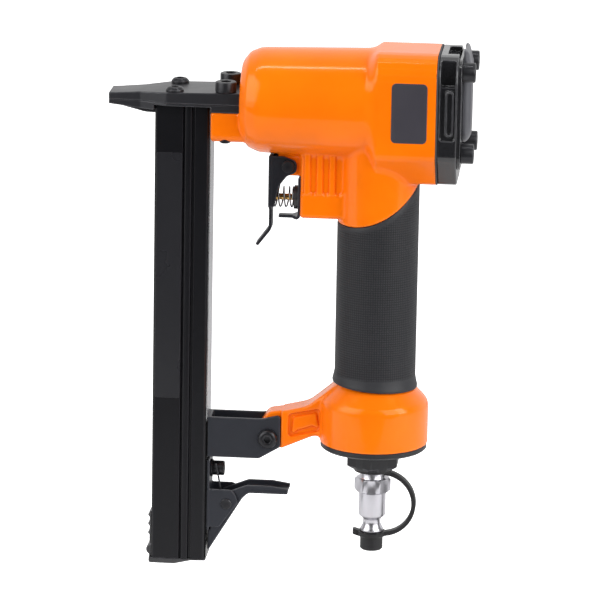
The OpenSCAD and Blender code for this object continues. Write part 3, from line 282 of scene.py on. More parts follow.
grain, given, out = effect("surface_grain", {"Stretch": "Vector", "Depth": "Float"}, {"Normal": "Vector"})
place = node(grain, "TexCoord")["Object"]
drawn_out = node(grain, "VectorMath", {0: place, 1: given["Stretch"]}, operation="MULTIPLY")[0]
relief = node(grain, "TexNoise", {"Vector": drawn_out, "Scale": 1.0, "Detail": 3.0})["Fac"]
bumped = node(grain, "Bump", {"Height": relief, "Strength": given["Depth"], "Distance": 0.0001})[0]
grain.links.new(bumped, out["Normal"])


def finish(name, colour, worn_highlit_colour, wear_and_highlight, gloss, cells, depth, hollow_shade=0.0, **sockets):
    """Material with edges lightened partly by wear and partly as painted highlight, gloss that drifts
    between two roughnesses and a grain of so many cells per metre. Hollow shade is how strongly its colour
    is darkened in hollows as painted shade; sockets are set on its shader."""
    material = bpy.data.materials.new(name)
    material.use_nodes = True
    tree = material.node_tree
    skin = tree.nodes["Principled BSDF"].inputs
    for label, value in sockets.items():
        skin[label.replace("_", " ")].default_value = value
    tones = {"Colour": (*colour, 1), "Worn Highlit": (*worn_highlit_colour, 1), "Wear And Highlight": wear_and_highlight, "Hollow Shade": hollow_shade}
    tree.links.new(node(tree, "Group", tones, node_tree=worn_and_highlit)["Colour"], skin["Base Color"])
    drift = {"Low": gloss[0], "High": gloss[1], "Scale": 55.0}
    tree.links.new(node(tree, "Group", drift, node_tree=handled)["Roughness"], skin["Roughness"])
    bumps = {"Stretch": np.broadcast_to(cells, 3), "Depth": depth}
    tree.links.new(node(tree, "Group", bumps, node_tree=grain)["Normal"], skin["Normal"])
    return material


# The orange paint is darkened and reddened in its hollows as painted shade.
orange = finish("orange_paint", (0.98, 0.183, 0.002), (1.0, 0.32, 0.055), wear_and_highlight=0.5, gloss=(0.2, 0.27),
                cells=900, depth=0.06, hollow_shade=1.6, Coat_Weight=0.3, Coat_Roughness=0.06,
                Specular_Tint=(1.0, 0.4, 0.1, 1))

handle_x, core_radius, neck_radius, airway_radius = 118.3, 15.4, 17.85, 12
barrel_front, head_front, head_ease, head_back = 58, 112.5, 6, 143.8
boss_half, rib_half, lug_half, rib_pitch, rib_places = 9.5, 10.6, 5, 5.5, (87.6, 93.1, 98.6)
scoop_x, scoop_z, scoop_radius = 105, -17, 35.5
seat_z, seat_lean, base_bottom = -125.5, 0.058, -152
hub_half, hub_back, arm_half, pocket_floor, pocket_pad_top = 5.3, 77.8, 7, 5.5, 6.8
liner_radius, liner_front, bumper_radius, bumper_front = 18, 76, 15.75, 64
thread_radius, thread_top, valve_z, valve_radius, valve_back = 19.85, -142.5, -42.9, 5, 104
slot_half, slot_rise = 4.9, 0.9

barrel_line = rounded([(barrel_front, 17), (61.2, 21), (66, 23), (113.5, 24.2), (150, 24.2)],
                      [0, 4, 9, 0, 0])
head_outline = rounded([(-23, 25), (23, 25), (23, -19.4), (12, -33), (-12, -33), (-23, -19.4)],
                       [11, 11, 5, 4, 4, 5])
boss_outline = rounded([(84.7, -8), (84.7, -50.2), (handle_x, -50.2), (handle_x, -8)], [0, 1.4, 0, 0])
lug_outline = rounded([(74.5, -8), (74.5, -32.5), (85.7, -32.5), (85.7, -8)], [0, 4.2, 0, 0])
base_line = rounded([(16.85, seat_z), (23.9, -132.9), (23.9, -160)], [0, 6, 0])
arm_outline = rounded([(66.9, -147.2), (71.4, -139.6), (78.9, -138.4), (88.9, -136), (100.9, -126.4),
                       (handle_x, -126.4), (handle_x, -149.6), (91.9, -149.4), (77.9, -155.6),
                       (66.9, -158.2)], [2, 4, 8, 12, 4, 0, 0, 6, 4, 4])
pocket_outline = rounded([(80.8, -150.5), (95.8, -147), (95.8, -136.4), (80.8, -139.6)], 1.8)
pocket_pad = rounded([(82.7, -148.7), (84.8, -146.7), (91.6, -144.4), (94, -145.4), (93, -139.2),
                      (83.4, -141.4)], [0.5, 1, 1, 0.5, 0.8, 0.8])
tongue_outline = rounded([(-13.2, -4.1), (13.2, -4.1), (13.2, -17.3), (-13.2, -17.3)], [0.8, 0.8, 3.5, 3.5])


def casting(x, y, z):
    """Distance of the casting: a round section that eases into the head's outline, the other forms
    filleted to it, and the bores taken away."""
    side, rho, shaft = np.abs(y), np.hypot(y, z), np.hypot(x - handle_x, y)
    share = eased((x - head_front) / head_ease)
    section = (1 - share) * (rho - np.interp(x, *barrel_line.T)) + share * gap(y, z, head_outline)
    solid = both(both(section, barrel_front - x, 1.2), x - head_back, 0.4)
    scallop = np.abs(np.sin(math.pi * (x - rib_places[0]) / rib_pitch))
    swell = eased((-35.8 - 2.6 * scallop - z) / 2.2)
    solid = join(solid, both(gap(x, z, boss_outline), side - boss_half - swell, 1.8), 2)
    for middle in rib_places:
        solid = join(solid, block(x, y, z, (middle, 0, -26.5), (1.3, rib_half, 13), 0.7, 0.6), 0.6)
    solid = join(solid, both(gap(x, z, lug_outline), side - lug_half, 1), 1.5)
    neck = both(shaft - neck_radius, np.hypot(x - scoop_x, z - scoop_z) - scoop_radius, 0.6)
    solid = join(solid, np.maximum(both(neck, z + 8, 1), -52.6 - z), 1.4)
    solid = join(solid, both(shaft - core_radius, np.abs(z + 66) - 62, 0.5), 0.5)
    ends = np.maximum(z - seat_z + seat_lean * (x - handle_x), base_bottom - z)
    base = both(shaft - np.interp(-z, -base_line[:, 1], base_line[:, 0]), ends, 0.8)
    arm = gap(x, z, arm_outline)
    arm = np.minimum(both(arm, side - hub_half, 1), both(both(arm, side - arm_half, 1.2), hub_back - x, 0.4))
    depth = arm_half - side
    recess = both(gap(x, z, pocket_outline) + 0.2 * depth, pocket_floor - side, 0.6)
    raised = both(gap(x, z, pocket_pad) - 0.25 * depth, side - pocket_pad_top, 0.6)
    arm = cut(arm, cut(recess, raised, 0.6), 0.7)
    solid = join(solid, join(base, arm, 2.2), 0.5)
    solid = join(solid, both(gap(y, z, tongue_outline), np.abs(x - 60) - 14.6, 1), 1.5)
    bores = np.maximum(rho - liner_radius, liner_front - x)
    bores = np.minimum(bores, np.maximum(rho - bumper_radius, bumper_front - x))
    bores = np.minimum(bores, np.maximum(shaft - airway_radius, np.abs(z + 79) - 65))
    bores = np.minimum(bores, np.maximum(shaft - thread_radius, z - thread_top))
    bores = np.minimum(bores, np.maximum(np.hypot(y, z - valve_z) - valve_radius, x - valve_back))
    bores = np.minimum(bores, both(side - slot_half, np.abs(z) - slot_rise, 0.1))
    return cut(solid, np.maximum(bores, x - 147), 0.3)


fit("housing_casting", cast(
    casting,
    stations(44, (46.5, 0.5), (57, 1.2), (66.5, 0.6), (73.5, 1.2), (99, 0.54), (112, 1.2), (119, 0.7),
             (142.4, 1.4), (145.2, 0.4)),
    stations(-25.4, (-11.6, 0.9), (-4, 0.52), (4, 1.2), (11.6, 0.52), (25.4, 0.9)),
    stations(-159.5, (-152, 0.8), (-135, 0.54), (-123.5, 0.7), (-54, 3), (-34, 0.56), (-9, 0.7), (12, 1.4),
             (26.5, 0.8))), "tool", "housing", "orange_paint", orange)


# Cylinder, piston and driver: honed steel liner, turned piston and flat driver blade, with rubber
# seals and bumper. All inside the barrel; the blade shows only in the nose when it is driven.
def dress(material, *names):
    """Gives solids that keep their shape a better material."""
    for name in names:
        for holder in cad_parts[name].material_slots:
            holder.material = material


bright = finish("bright_steel", (0.56, 0.56, 0.58), (0.75, 0.75, 0.76), wear_and_highlight=0.6, gloss=(0.2, 0.32),
                cells=(2500, 2500, 60), depth=0.12, Metallic=1.0)
rubber = finish("black_rubber", (0.01, 0.0095, 0.011), (0.04, 0.04, 0.042), wear_and_highlight=0.4, gloss=(0.4, 0.52),
                cells=1500, depth=0.1, Specular_IOR_Level=0.4)
dress(bright, "cylinder_liner", "piston", "driver_blade", "driver_pin")
dress(rubber, "liner_seal", "piston_seal", "bumper")


# Head valve: moulded cup with its ring seal, pressed shut by one wide coil of spring wire in the rear
# cap. It opens when the trigger valve vents the space behind it.
def walls(at):
    """Faces between each row of point numbers and the next, closed round the rows."""
    on = np.roll(at, -1, 1)
    return np.stack([at[:-1], on[:-1], on[1:], at[1:]], -1).reshape(-1, 4)


def swept(centres, across, over, section):
    """Bar drawn along a path: the section's two columns carry along the unit vectors across and over at
    each centre; both ends are closed."""
    rings = centres[:, None] + section[None, :, :1] * across[:, None] + section[None, :, 1:] * over[:, None]
    at = np.arange(rings.size // 3).reshape(rings.shape[:2])
    return rings.reshape(-1, 3), [walls(at), at[:1, ::-1], at[-1:]]


def wire_section(radius, sides):
    """Round section of a wire: points at even angles on a circle."""
    ring = np.linspace(0, 2 * math.pi, sides, endpoint=False)
    return radius * np.stack([np.cos(ring), np.sin(ring)], 1)


def aimed(points, faces, axis, at):
    """Skin made along X, turned to another axis by a cyclic change of axes, and moved."""
    order = {"x": (0, 1, 2), "y": (2, 0, 1), "z": (1, 2, 0)}[axis]
    return points[:, order] + np.array(at), faces


def coil(start, end, radius, wire, turns, axis="x", at=(0, 0, 0)):
    """Wire spring along an axis: a round section on a helix, with the last three quarter turns at each
    end closed up flat."""
    t = np.linspace(0, 1, int(turns * 28) + 1)
    angle = t * turns * 2 * math.pi
    closed = 0.75 / turns
    lift = np.clip((t - closed) / (1 - 2 * closed), 0, 1)
    lift += wire / (end - start - wire) * (np.clip(t / closed, 0, 1) + np.clip((t - 1) / closed + 1, 0, 1))
    lift /= lift[-1]
    outward = np.stack([0 * t, np.cos(angle), np.sin(angle)], 1)
    centres = radius * outward
    centres[:, 0] = start + wire / 2 + (end - start - wire) * lift
    over = np.cross(unit_rows(np.gradient(centres, axis=0)), outward)
    return aimed(*swept(centres, outward, over, wire_section(wire / 2, 12)), axis, at)


wire_steel = finish("spring_wire", (0.2, 0.2, 0.21), (0.4, 0.4, 0.41), wear_and_highlight=0.3, gloss=(0.25, 0.36),
                    cells=1200, depth=0.1, Metallic=1.0)
plastic = finish("valve_plastic", (0.03, 0.03, 0.033), (0.07, 0.07, 0.075), wear_and_highlight=0.5, gloss=(0.38, 0.5),
                 cells=1800, depth=0.15)
dress(plastic, "head_valve")
dress(rubber, "head_valve_seal")
valve_coil = fit("head_valve_coil", coil(139.4, 146.4, 12.5, 1.2, 2.6),
                 "tool", "head_valve_spring", "spring_steel", wire_steel, crease=60)
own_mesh(valve_coil)


# Rear cap: black painted casting that closes the head over a fibre gasket. Each side has a long recess
# with a small loop in it and a deeper cell above the loop, and the top one opening. Four socket screws
# hold it.
def panel(low, high, radii):
    """Outline of a rectangle from its low corner to its high one, with round corners."""
    return rounded([low, (high[0], low[1]), high, (low[0], high[1])], radii)


def even(low, high, step):
    """Stations at one step, a little wider than low to high."""
    return stations(low - 1.6 * step, (high + 1.6 * step, step))


def formed(name, form, low, high, steps, *labels):
    """Piece cast from a distance on an even grid from the low corner to the high one, and fitted."""
    fit(name, cast(form, *map(even, low, high, np.broadcast_to(steps, 3))), *labels)


# The black paint's edges lighten to grey: partly wear, partly painted highlight.
black_paint = finish("black_paint", (0.01, 0.01, 0.012), (0.2, 0.2, 0.215), wear_and_highlight=0.7, gloss=(0.2, 0.28),
                     cells=2200, depth=0.12, Coat_Weight=0.6, Coat_Roughness=0.08)
fibre = finish("fibre", (0.05, 0.05, 0.056), (0.12, 0.12, 0.13), wear_and_highlight=0.3, gloss=(0.6, 0.75),
               cells=3000, depth=0.3)
dress(fibre, "cap_gasket")
cap_middle, cap_half, cap_inset = 148.6, 4.2, 0.3
recess_floor, cell_floor, cell_foot = 21.3, 17.3, 12.2
window, loop = panel((145.4, -11), (151.8, 23.7), 1.2), panel((147.4, -9.3), (151.4, 10.9), 1.9)


def cap(x, y, z):
    """Distance of the cap: the head's outline over its thickness, less the side recesses, deep above the
    loop, the opening in the top and the bores for the head valve and its spring."""
    side, rho = np.abs(y), np.hypot(y, z)
    solid = both(gap(y, z, head_outline) + cap_inset, np.abs(x - cap_middle) - cap_half, 0.6)
    rib = both(np.abs(gap(x, z, loop) + 0.5) - 0.5, np.abs(side - 21) - 1.4, 0.25)
    floor = np.minimum(recess_floor - side, both(cell_floor - side, cell_foot - z, 0.2))
    solid = cut(solid, cut(both(gap(x, z, window), floor, 0.4), rib, 0.3), 0.4)
    solid = cut(solid, both(both(np.abs(x - 150.1) - 2.5, side - 9, 0.8), 22.6 - z, 0.3), 0.3)
    return cut(solid, np.minimum(np.maximum(rho - 15, x - 146.4), np.maximum(rho - 8.1, x - 151.3)), 0.1)


formed("rear_cap_casting", cap, (144.4, -22.7, -32.7), (152.8, 22.7, 24.7), (0.35, 0.45, 0.45),
       "tool", "rear_cap", "black_paint", black_paint)

# Exhaust plate and hood: a flat pressed plate behind the cap and a shallow cast hood on it, with a domed
# face and a flat outlet that runs up along the plate. Light metal, painted black; the cap's screws hold it.
plate_middle, plate_half, plate_back = 153.6, 0.8, 154.4
hood_middle, hood_half, hood_bore = 156.2, 1.8, 5.8
plate_outline = panel((-21, -24.9), (21, 23), [6, 6, 8, 8])
hood_base = panel((-9, -15), (9, 26.5), [6.7, 6.7, 0.5, 0.5])
hood_face = panel((-7, -12), (7, 20), [5.4, 5.4, 0.5, 0.5])


def exhaust(x, y, z):
    """Distance of the plate: its outline over its thickness, with the air hole."""
    sheet = both(gap(y, z, plate_outline), np.abs(x - plate_middle) - plate_half, 0.25)
    return cut(sheet, np.hypot(y, z) - 6, 0.2)


def hood(x, y, z):
    """Distance of the hood: the base outline shrinks to the face outline with the square of the height;
    hollow below its sloped end, with a flat outlet that runs up along the plate."""
    share = np.clip((x - 155.2) / 2.7, 0, 1) ** 2
    outline = (1 - share) * gap(y, z, hood_base) + share * gap(y, z, hood_face)
    inner = both(both(np.abs(y) - hood_bore, np.abs(z - 2) - 13, 3.6), x - 156.8, 0.4)
    outlet = both(both(np.abs(y) - hood_bore, 8 - z, 0.3), x - 155, 0.1)
    solid = both(outline * 0.5, np.abs(x - hood_middle) - hood_half, 0.25)
    return cut(solid, np.minimum(inner, outlet), 0.2)


hood_paint = finish("hood_paint", (0.085, 0.085, 0.096), (0.3, 0.3, 0.33), wear_and_highlight=0.7, gloss=(0.28, 0.38),
                    cells=2200, depth=0.2)
formed("exhaust_plate_sheet", exhaust, (152.8, -21, -24.9), (plate_back, 21, 23), (0.35, 0.6, 0.6),
       "tool", "exhaust_plate", "black_paint", black_paint)
formed("exhaust_hood_cast", hood, (plate_back, -9, -15), (158, 9, 26.5), (0.3, 0.4, 0.4),
       "tool", "exhaust_hood", "black_paint", hood_paint)


# Cap screws: four socket head screws in black oxide, through plate, cap and gasket into the head.
# The head's rim is chamfered and its hexagon socket ends in a drilled cone.
def turned(profile, axis, at, sides=60, corner=30):
    """Turned skin: points (station, radius, flat) carried round an axis, which a minus sign reverses.
    Where flat isn't zero the radius is held to a hexagon of that half width: flat over the cosine of the
    angle from the middle of the nearest side, which lies half a side from the first corner, in degrees."""
    table = np.array([(*p, 0)[:3] for p in profile], float)
    angle = np.linspace(0, 2 * math.pi, sides, endpoint=False)
    off_middle = (angle - math.radians(corner)) % (math.pi / 3) - math.pi / 6
    flat = np.where(table[:, 2] > 0, table[:, 2], np.inf)[:, None] / np.cos(off_middle)
    radius = np.minimum(table[:, 1:2], flat)
    station = np.broadcast_to(table[:, :1], radius.shape)
    rings = np.stack([station, radius * np.cos(angle), radius * np.sin(angle)], -1)
    points = np.concatenate([rings[0, :1], rings[1:-1].reshape(-1, 3), rings[-1, :1]])
    if axis[0] == "-":
        points = points * (-1, 1, -1)
    number = np.arange(1, len(points) - 1).reshape(-1, sides)
    on = np.roll(number, -1, 1)
    low = np.stack([np.zeros(sides, int), on[0], number[0]], -1)
    high = np.stack([np.full(sides, len(points) - 1), number[-1], on[-1]], -1)
    return aimed(points, [walls(number), low, high], axis[-1], at)


def several(skins):
    """One skin of several."""
    points, faces, start = [], [], 0
    for some, groups in skins:
        points.append(some)
        faces += [group + start for group in groups]
        start += len(some)
    return np.concatenate(points), faces


def socket_screw(length, shank, head, height, key, depth):
    """Profile of a socket screw from the tip of its shank, with the bearing face at zero and a hexagon
    socket of the key's width across flats."""
    flat = key / 2
    corner = flat / math.cos(math.pi / 6)
    return [(-length, 0), (-length, shank - 0.5), (0.5 - length, shank), (0, shank), (0, head - 0.25),
            (0.25, head), (height - 0.5, head), (height - 0.15, head - 0.15), (height, head - 0.5),
            (height, corner + 0.25), (height - 0.25, corner, flat), (height - depth, corner, flat),
            (height - depth - 0.01, 0.8 * flat), (height - depth - 0.6, 0)]


oxide = finish("black_oxide", (0.014, 0.014, 0.017), (0.2, 0.2, 0.21), wear_and_highlight=0.5, gloss=(0.26, 0.36),
               cells=2600, depth=0.15, Metallic=0.5)
cap_screw = socket_screw(length=29.4, shank=2.5, head=4.3, height=5.6, key=4, depth=3)
fit("cap_screw_set", several(
    [turned(cap_screw, "x", (plate_back, y, z)) for y in (-14.6, 14.6) for z in (17.8, -17.9)]),
    "tool", "cap_screws", "black_fasteners", oxide)

# Side pad: a blank film of satin black plastic glued in a shallow recess of the head. It stays bare.
# Its border is a little raised.
film = finish("blank_film", (0.036, 0.033, 0.043), (0.09, 0.085, 0.1), wear_and_highlight=0.4, gloss=(0.42, 0.5),
              cells=2600, depth=0.12)
pad_outline = panel((124.5, -12.55), (139.9, 13.65), 2)


def pad(x, y, z):
    """Distance of the pad: its outline over its thickness, the middle a tenth lower than the border."""
    rim = gap(x, z, pad_outline)
    return both(rim, np.abs(y + 22.7) - 0.5 + 0.1 * np.clip(-rim - 0.8, 0, 0.4) / 0.4, 0.15)


formed("side_pad_film", pad, (124.5, -23.2, -12.55), (139.9, -22.2, 13.65), (0.4, 0.2, 0.4),
       "tool", "side_pad", "blank_pad", film)

# Nose: two hardened plates with the driver's slot between them, the lower one with a rib behind the
# tip. Machined, phosphated and oiled; two button screws join them, two tall bolts hold them to the barrel.
oiled_black = finish("oiled_black", (0.024, 0.024, 0.028), (0.16, 0.16, 0.175), wear_and_highlight=0.6, gloss=(0.26, 0.36),
                     cells=1900, depth=0.2, Metallic=0.3)
staple_x, staple_half, nose_screw_y = 33, 9.4, 10
nose_plan = np.array([(0, -7.5), (14, -8.5), (26, -13.5), (58, -13.5)])
nose_top = rounded([(0, -0.6), (58, -0.6), (58, 4.9), (26, 4.3), (4, 2.6), (0, 2.4)], [0, 0, 0, 4, 3, 0])
guide_side = rounded([(0, -0.6), (0, -2.6), (14, -4.1), (58, -4.1), (58, -0.6)], [0, 0, 2, 0, 0])
guide_rib = rounded([(4, -1.6), (4, -3.6), (15.6, -6.5), (20.4, -6.7), (20.4, -1.6)], [0, 2, 8, 0.6, 0])


def flared(narrow):
    """Closed plan of a nose plate, brought in by narrow on each side."""
    half = nose_plan + np.array((0, narrow))
    return rounded(np.concatenate([half, half[::-1] * (1, -1)]), [0, 2, 2, 0, 0, 2, 2, 0])


upper_plan, lower_plan = flared(0), flared(0.35)


def upper_plate(x, y, z):
    """Distance of the upper plate: plan and side outline with eased edges, less the driver slot."""
    solid = both(gap(x, y, upper_plan), gap(x, z, nose_top), 0.4)
    return cut(solid, both(np.abs(y) - slot_half, z - 0.6, 0.1), 0.1)


def lower_plate(x, y, z):
    """Distance of the lower plate: plan and side outline with the rib, thin over the magazine, less the
    staple window."""
    solid = both(gap(x, y, lower_plan), gap(x, z, guide_side), 0.4)
    solid = join(solid, both(gap(x, z, guide_rib), np.abs(y) - 4, 0.5), 0.8)
    solid = cut(solid, both(np.abs(x - 32.9) - 12.5, z + 1.8, 0.2), 0.2)
    return cut(solid, both(np.abs(x - staple_x) - staple_half, np.abs(y) - slot_half, 0.3), 0.2)


formed("nose_upper", upper_plate, (0, -13.5, -0.6), (58, 13.5, 4.9), (0.55, 0.45, 0.4),
       "tool", "nose_plate", "blackened_steel", oiled_black)
formed("nose_lower", lower_plate, (0, -13.2, -6.7), (58, 13.2, -0.6), (0.55, 0.45, 0.4),
       "tool", "driver_guide", "blackened_steel", oiled_black)

dome = rounded([(3.9, 0), (3.9, 0.8), (2.9, 1.9), (2.1, 2.1), (1.9, 2.1)], [0, 0.3, 1.2, 0.3, 0])
button = [(-6.1, 0), (-6.1, 2.0), (0, 2.0), (0, 3.9), *dome[1:, ::-1].tolist(),
          (1.9, 1.73, 1.5), (0.9, 1.73, 1.5), (0.89, 1.2), (0.5, 0)]
tall_bolt = socket_screw(length=22.6, shank=2.5, head=4.6, height=4.6, key=4, depth=2.6)
for name, solid, profile, x, z in (("nose_button_screws", "nose_screws", button, 29.4, 4.5),
                                   ("nose_tall_bolts", "nose_bolts", tall_bolt, 51.6, 4.9)):
    pair = several([turned(profile, "z", (x, y, z)) for y in (-nose_screw_y, nose_screw_y)])
    fit(name, pair, "tool", solid, "black_fasteners", oxide)

# Magazine: extruded aluminium section with two grooves and a bead down each side, sawn to length and
# black anodised; its front band is left blank. A steel strip runs down its back; its colour is bright
# above the hanger and darker from there down.
anodised = finish("black_anodised", (0.006, 0.006, 0.008), (0.05, 0.05, 0.057), wear_and_highlight=0.4, gloss=(0.29, 0.32),
                  cells=(4200, 4200, 40), depth=0.06, Metallic=0.3, Specular_IOR_Level=0.42)
blank_band = finish("blank_band", (0.014, 0.014, 0.017), (0.05, 0.05, 0.055), wear_and_highlight=0.4, gloss=(0.27, 0.29),
                    cells=2600, depth=0.04)
grooves = [(32.9, 8.5), (33.1, 7.6), (33.7, 7.6), (33.9, 8.5), (34.4, 8.7), (35.3, 8.78),
           (36.3, 8.7), (36.8, 8.5), (37.0, 7.6), (38.0, 7.6), (38.2, 8.5)]
half_section = [(20.6, 0), (20.6, 7.7), (21.4, 8.5), *grooves, (43.6, 8.5), (44.4, 7.7), (44.4, 0)]
magazine_outline = np.array(half_section + [(x, -y) for x, y in half_section[-2:0:-1]])
band_outline = panel((21.5, -133.8), (32.6, -23.1), 0.8)


def magazine(x, y, z):
    """Distance of the section: its outline along Z, less the staple channel."""
    solid = both(gap(x, y, magazine_outline), np.abs(z + 104.8) - 103, 0.3)
    return cut(solid, both(np.abs(x - staple_x) - staple_half, np.abs(y) - 5, 0.2), 0.15)


def band(x, y, z):
    """Distance of the blank band: its outline over a fifth of a millimetre."""
    return both(gap(x, z, band_outline), np.abs(y + 8.6) - 0.1, 0.05)


def strip(x, y, z):
    """Distance of the back strip: a flat bar with eased edges."""
    return block(x, y, z, (44.7, 0, -104.65), (0.3, 7.6, 102.65), 0.12, 0.1)


def toned(tree, value):
    """Multiplies a material's base colour by a value that changes over the surface."""
    base = tree.nodes["Principled BSDF"].inputs["Base Color"]
    shaded = node(tree, "HueSaturation", {"Color": base.links[0].from_socket, "Value": value})[0]
    tree.links.new(shaded, base)


darker_below = bright.copy()
darker_below.name = "strip_steel"
tree = darker_below.node_tree
height = node(tree, "SeparateXYZ", {0: node(tree, "TexCoord")["Object"]})["Z"]
# The strip's colour is darkened below the hanger's top edge.
toned(tree, ramp(tree, height, -0.1445, -0.1425, 0.02, 1.0))
section_run = stations(-208.6, (-207, 0.3), (-2.8, 6), (-1, 0.3))
fit("magazine_section", cast(magazine, even(20.6, 44.4, 0.3), even(-8.8, 8.8, 0.3), section_run),
    "tool", "magazine_channel", "black_anodised", anodised)
band_run = stations(-134.5, (-132.5, 0.3), (-24.5, 4), (-22.5, 0.3))
fit("magazine_band", cast(band, even(21.5, 32.6, 0.4), even(-8.7, -8.5, 0.1), band_run),
    "tool", "magazine_face", "blank_pad", blank_band)
strip_run = stations(-207.8, (-206.8, 0.25), (-2.8, 6), (-1.5, 0.25))
fit("back_strip", cast(strip, even(44.4, 45, 0.15), even(-7.6, 7.6, 0.4), strip_run),
    "tool", "backing_strip", "bright_steel", darker_below)

# Drawer: folded steel rail with the staple pusher on its guide rod, pushed up by a long weak spring,
# and a black end piece with three finger ridges. Pulls out downwards for loading.
rail_x = 33.6
brass = finish("turned_brass", (0.66, 0.4, 0.14), (0.85, 0.62, 0.3), wear_and_highlight=0.4, gloss=(0.2, 0.3),
               cells=1500, depth=0.1, Metallic=1.0)
dress(bright, "staple_rail", "rail_rivet", "guide_rod")
dress(brass, "pusher")
feed_coil = fit("pusher_coil", coil(-200.3, -19.7, 2.1, 0.5, 36, "z", (rail_x, 0, 0)),
                "magazine_drawer", "pusher_spring", "spring_steel", wire_steel, crease=60)
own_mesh(feed_coil)
tail_outline = rounded([(19.4, -207.8), (45, -207.8), (45, -208.5), (38.2, -208.7), (31, -210.4),
                        (19.4, -210.4)], [0, 0.3, 0.5, 3, 3, 1])


def tail(x, y, z):
    """Distance of the end piece: a base plate with a stepped lower edge, the finger plate with its ridges
    and bump, and the spigot in the rail with the guide rod's hole."""
    side = np.abs(y)
    solid = both(gap(x, z, tail_outline), side - 8.5, 0.5)
    finger = block(x, y, z, (19.9, 0, -198.05), (0.5, 6, 10.75), 1.2, 0.2)
    for ridge in (-189.2, -193.3, -197.4):
        finger = join(finger, both(np.hypot(x - 19.6, z - ridge) - 0.9, side - 5, 0.5), 0.3)
    finger = join(finger, both(np.hypot(x - 20.6, z + 204.9) - 2.6, side - 6, 0.6), 0.6)
    finger = np.maximum(finger, x - 20.4)
    spigot = block(x, y, z, (rail_x, 0, -204.3), (6.4, 2.7, 4), 0.3, 0.3)
    return np.minimum(join(solid, finger, 0.6), np.maximum(spigot, 1.5 - np.hypot(x - rail_x, y)))


formed("drawer_end", tail, (17.9, -8.5, -210.4), (45, 8.5, -187.3), (0.4, 0.4, 0.35),
       "magazine_drawer", "magazine_tail", "black_paint", black_paint)

# Hanger: pressed steel channel screwed to the back of the magazine, its two cheeks straddling the
# arm. A button head bolt goes through both; a hexagon nut holds it on the far side.
phosphate = finish("phosphate", (0.023, 0.025, 0.033), (0.14, 0.14, 0.155), wear_and_highlight=0.7, gloss=(0.32, 0.42),
                   cells=1900, depth=0.25, Metallic=0.3)
bolt_x, bolt_z, cheek_half = 71.9, -151.2, 7
hanger_outline = rounded([(45, -160.6), (45, -142.4), (68.9, -142.4), (77.4, -140.3), (77.4, -155),
                          (68.1, -160.6)], [0, 0, 6, 1.5, 1.5, 3])


def hanger(x, y, z):
    """Distance of the hanger: side outline over its width, hollow between the cheeks, with the bolt hole."""
    side = np.abs(y)
    solid = both(gap(x, z, hanger_outline), side - cheek_half, 0.35)
    solid = cut(solid, both(46.5 - x, side - 5.5, 0.6), 0.3)
    return cut(solid, np.hypot(x - bolt_x, z - bolt_z) - 2.6, 0.1)


formed("hanger_channel", hanger, (45, -7, -160.6), (77.4, 7, -140.3), (0.4, 0.35, 0.4),
       "tool", "hanger", "blackened_steel", phosphate)
dress(bright, "hanger_screws")
crown = [(0.8 + 1.8 * math.sin(a), 2.4 + 1.9 * math.cos(a)) for a in np.linspace(0.1, 1.5, 8)]
bolt = [(-18.6, 0), (-18.6, 2.1), (-18.2, 2.5), (0, 2.5), (0, 4.3), (0.8, 4.3), *crown, (2.6, 2.0),
        (2.4, 1.75, 1.5), (1.3, 1.75, 1.5), (1.29, 1.2), (0.9, 0)]
fit("hanger_button_bolt", turned(bolt, "-y", (bolt_x, -cheek_half, bolt_z)),
    "tool", "hanger_bolt", "black_fasteners", oxide)
nut = [(0, 0), (0, 4.0), (0.35, 4.6, 4), (3.65, 4.6, 4), (4, 4.0), (4, 2.5), (3.9, 0)]
fit("hanger_hex_nut", turned(nut, "y", (bolt_x, cheek_half, bolt_z)),
    "tool", "hanger_nut", "bright_steel", bright)

# Latch: pressed bracket with two cheeks on the magazine's back, held by a socket screw with its washer.
# A pin carries the thumb lever, a pressed channel, and a wire spring keeps the lever's toe against the
# magazine's back.
latch_x, latch_z, pin_hole = 53.8, -182.1, 1.85
bracket_cheek = rounded([(45, -192.9), (45, -175.7), (56.8, -175.7), (59.2, -181.1), (50.8, -192.9)],
                        [0, 1, 3.5, 3, 2])
lever_under = [(80.8, -177), (63.4, -177), (60.8, -179.5), (45.9, -204.2), (45.4, -203.2)]
lever_web = rounded([*lever_under, (59.7, -178.9), (62.9, -175.8), (81.1, -175.8)],
                    [0.3, 3, 4, 0.3, 0.3, 3, 2, 0.3])
lever_side = rounded([(50.2, -178.5), (55.8, -176.3), (62.6, -173.6), (73.4, -173.6), (81.4, -174.8),
                      *lever_under, (45.7, -195.1), (46.7, -194.4), (46.7, -188.1)],
                     [3, 1, 4, 8, 0.3, 0.8, 3, 4, 0.3, 0.3, 0, 0, 3])


def bracket(x, y, z):
    """Distance of the bracket: back plate with a low rest at its foot, and the two cheeks bent from it."""
    back = block(x, y, z, (45.6, 0, -178.4), (0.6, 7, 16.4), 0.25, 0.8)
    back = np.minimum(back, block(x, y, z, (46.2, 0, -193.3), (1.2, 4.1, 2.2), 0.3, 0.3))
    cheeks = both(gap(x, z, bracket_cheek), np.abs(np.abs(y) - 6.4) - 0.6, 0.25)
    return cut(join(back, cheeks, 0.6), np.hypot(x - latch_x, z - latch_z) - pin_hole, 0.1)


def lever(x, y, z):
    """Distance of the lever: a channel, its web along the underside and back between two side plates."""
    side = np.abs(y)
    web = both(gap(x, z, lever_web), side - 5.6, 0.3)
    plates = both(gap(x, z, lever_side), np.abs(side - 5) - 0.6, 0.3)
    return cut(join(web, plates, 0.4), np.hypot(x - latch_x, z - latch_z) - pin_hole, 0.1)


def headed_pin(half, radius, head, thick):
    """Profile of a pin with a flat rounded head at each end."""
    up = [(half - thick, radius), (half - thick, head), (half - 0.3, head), (half, head - 0.3)]
    return [(-half, 0), *[(-s, r) for s, r in up[::-1]], *up, (half, 0)]


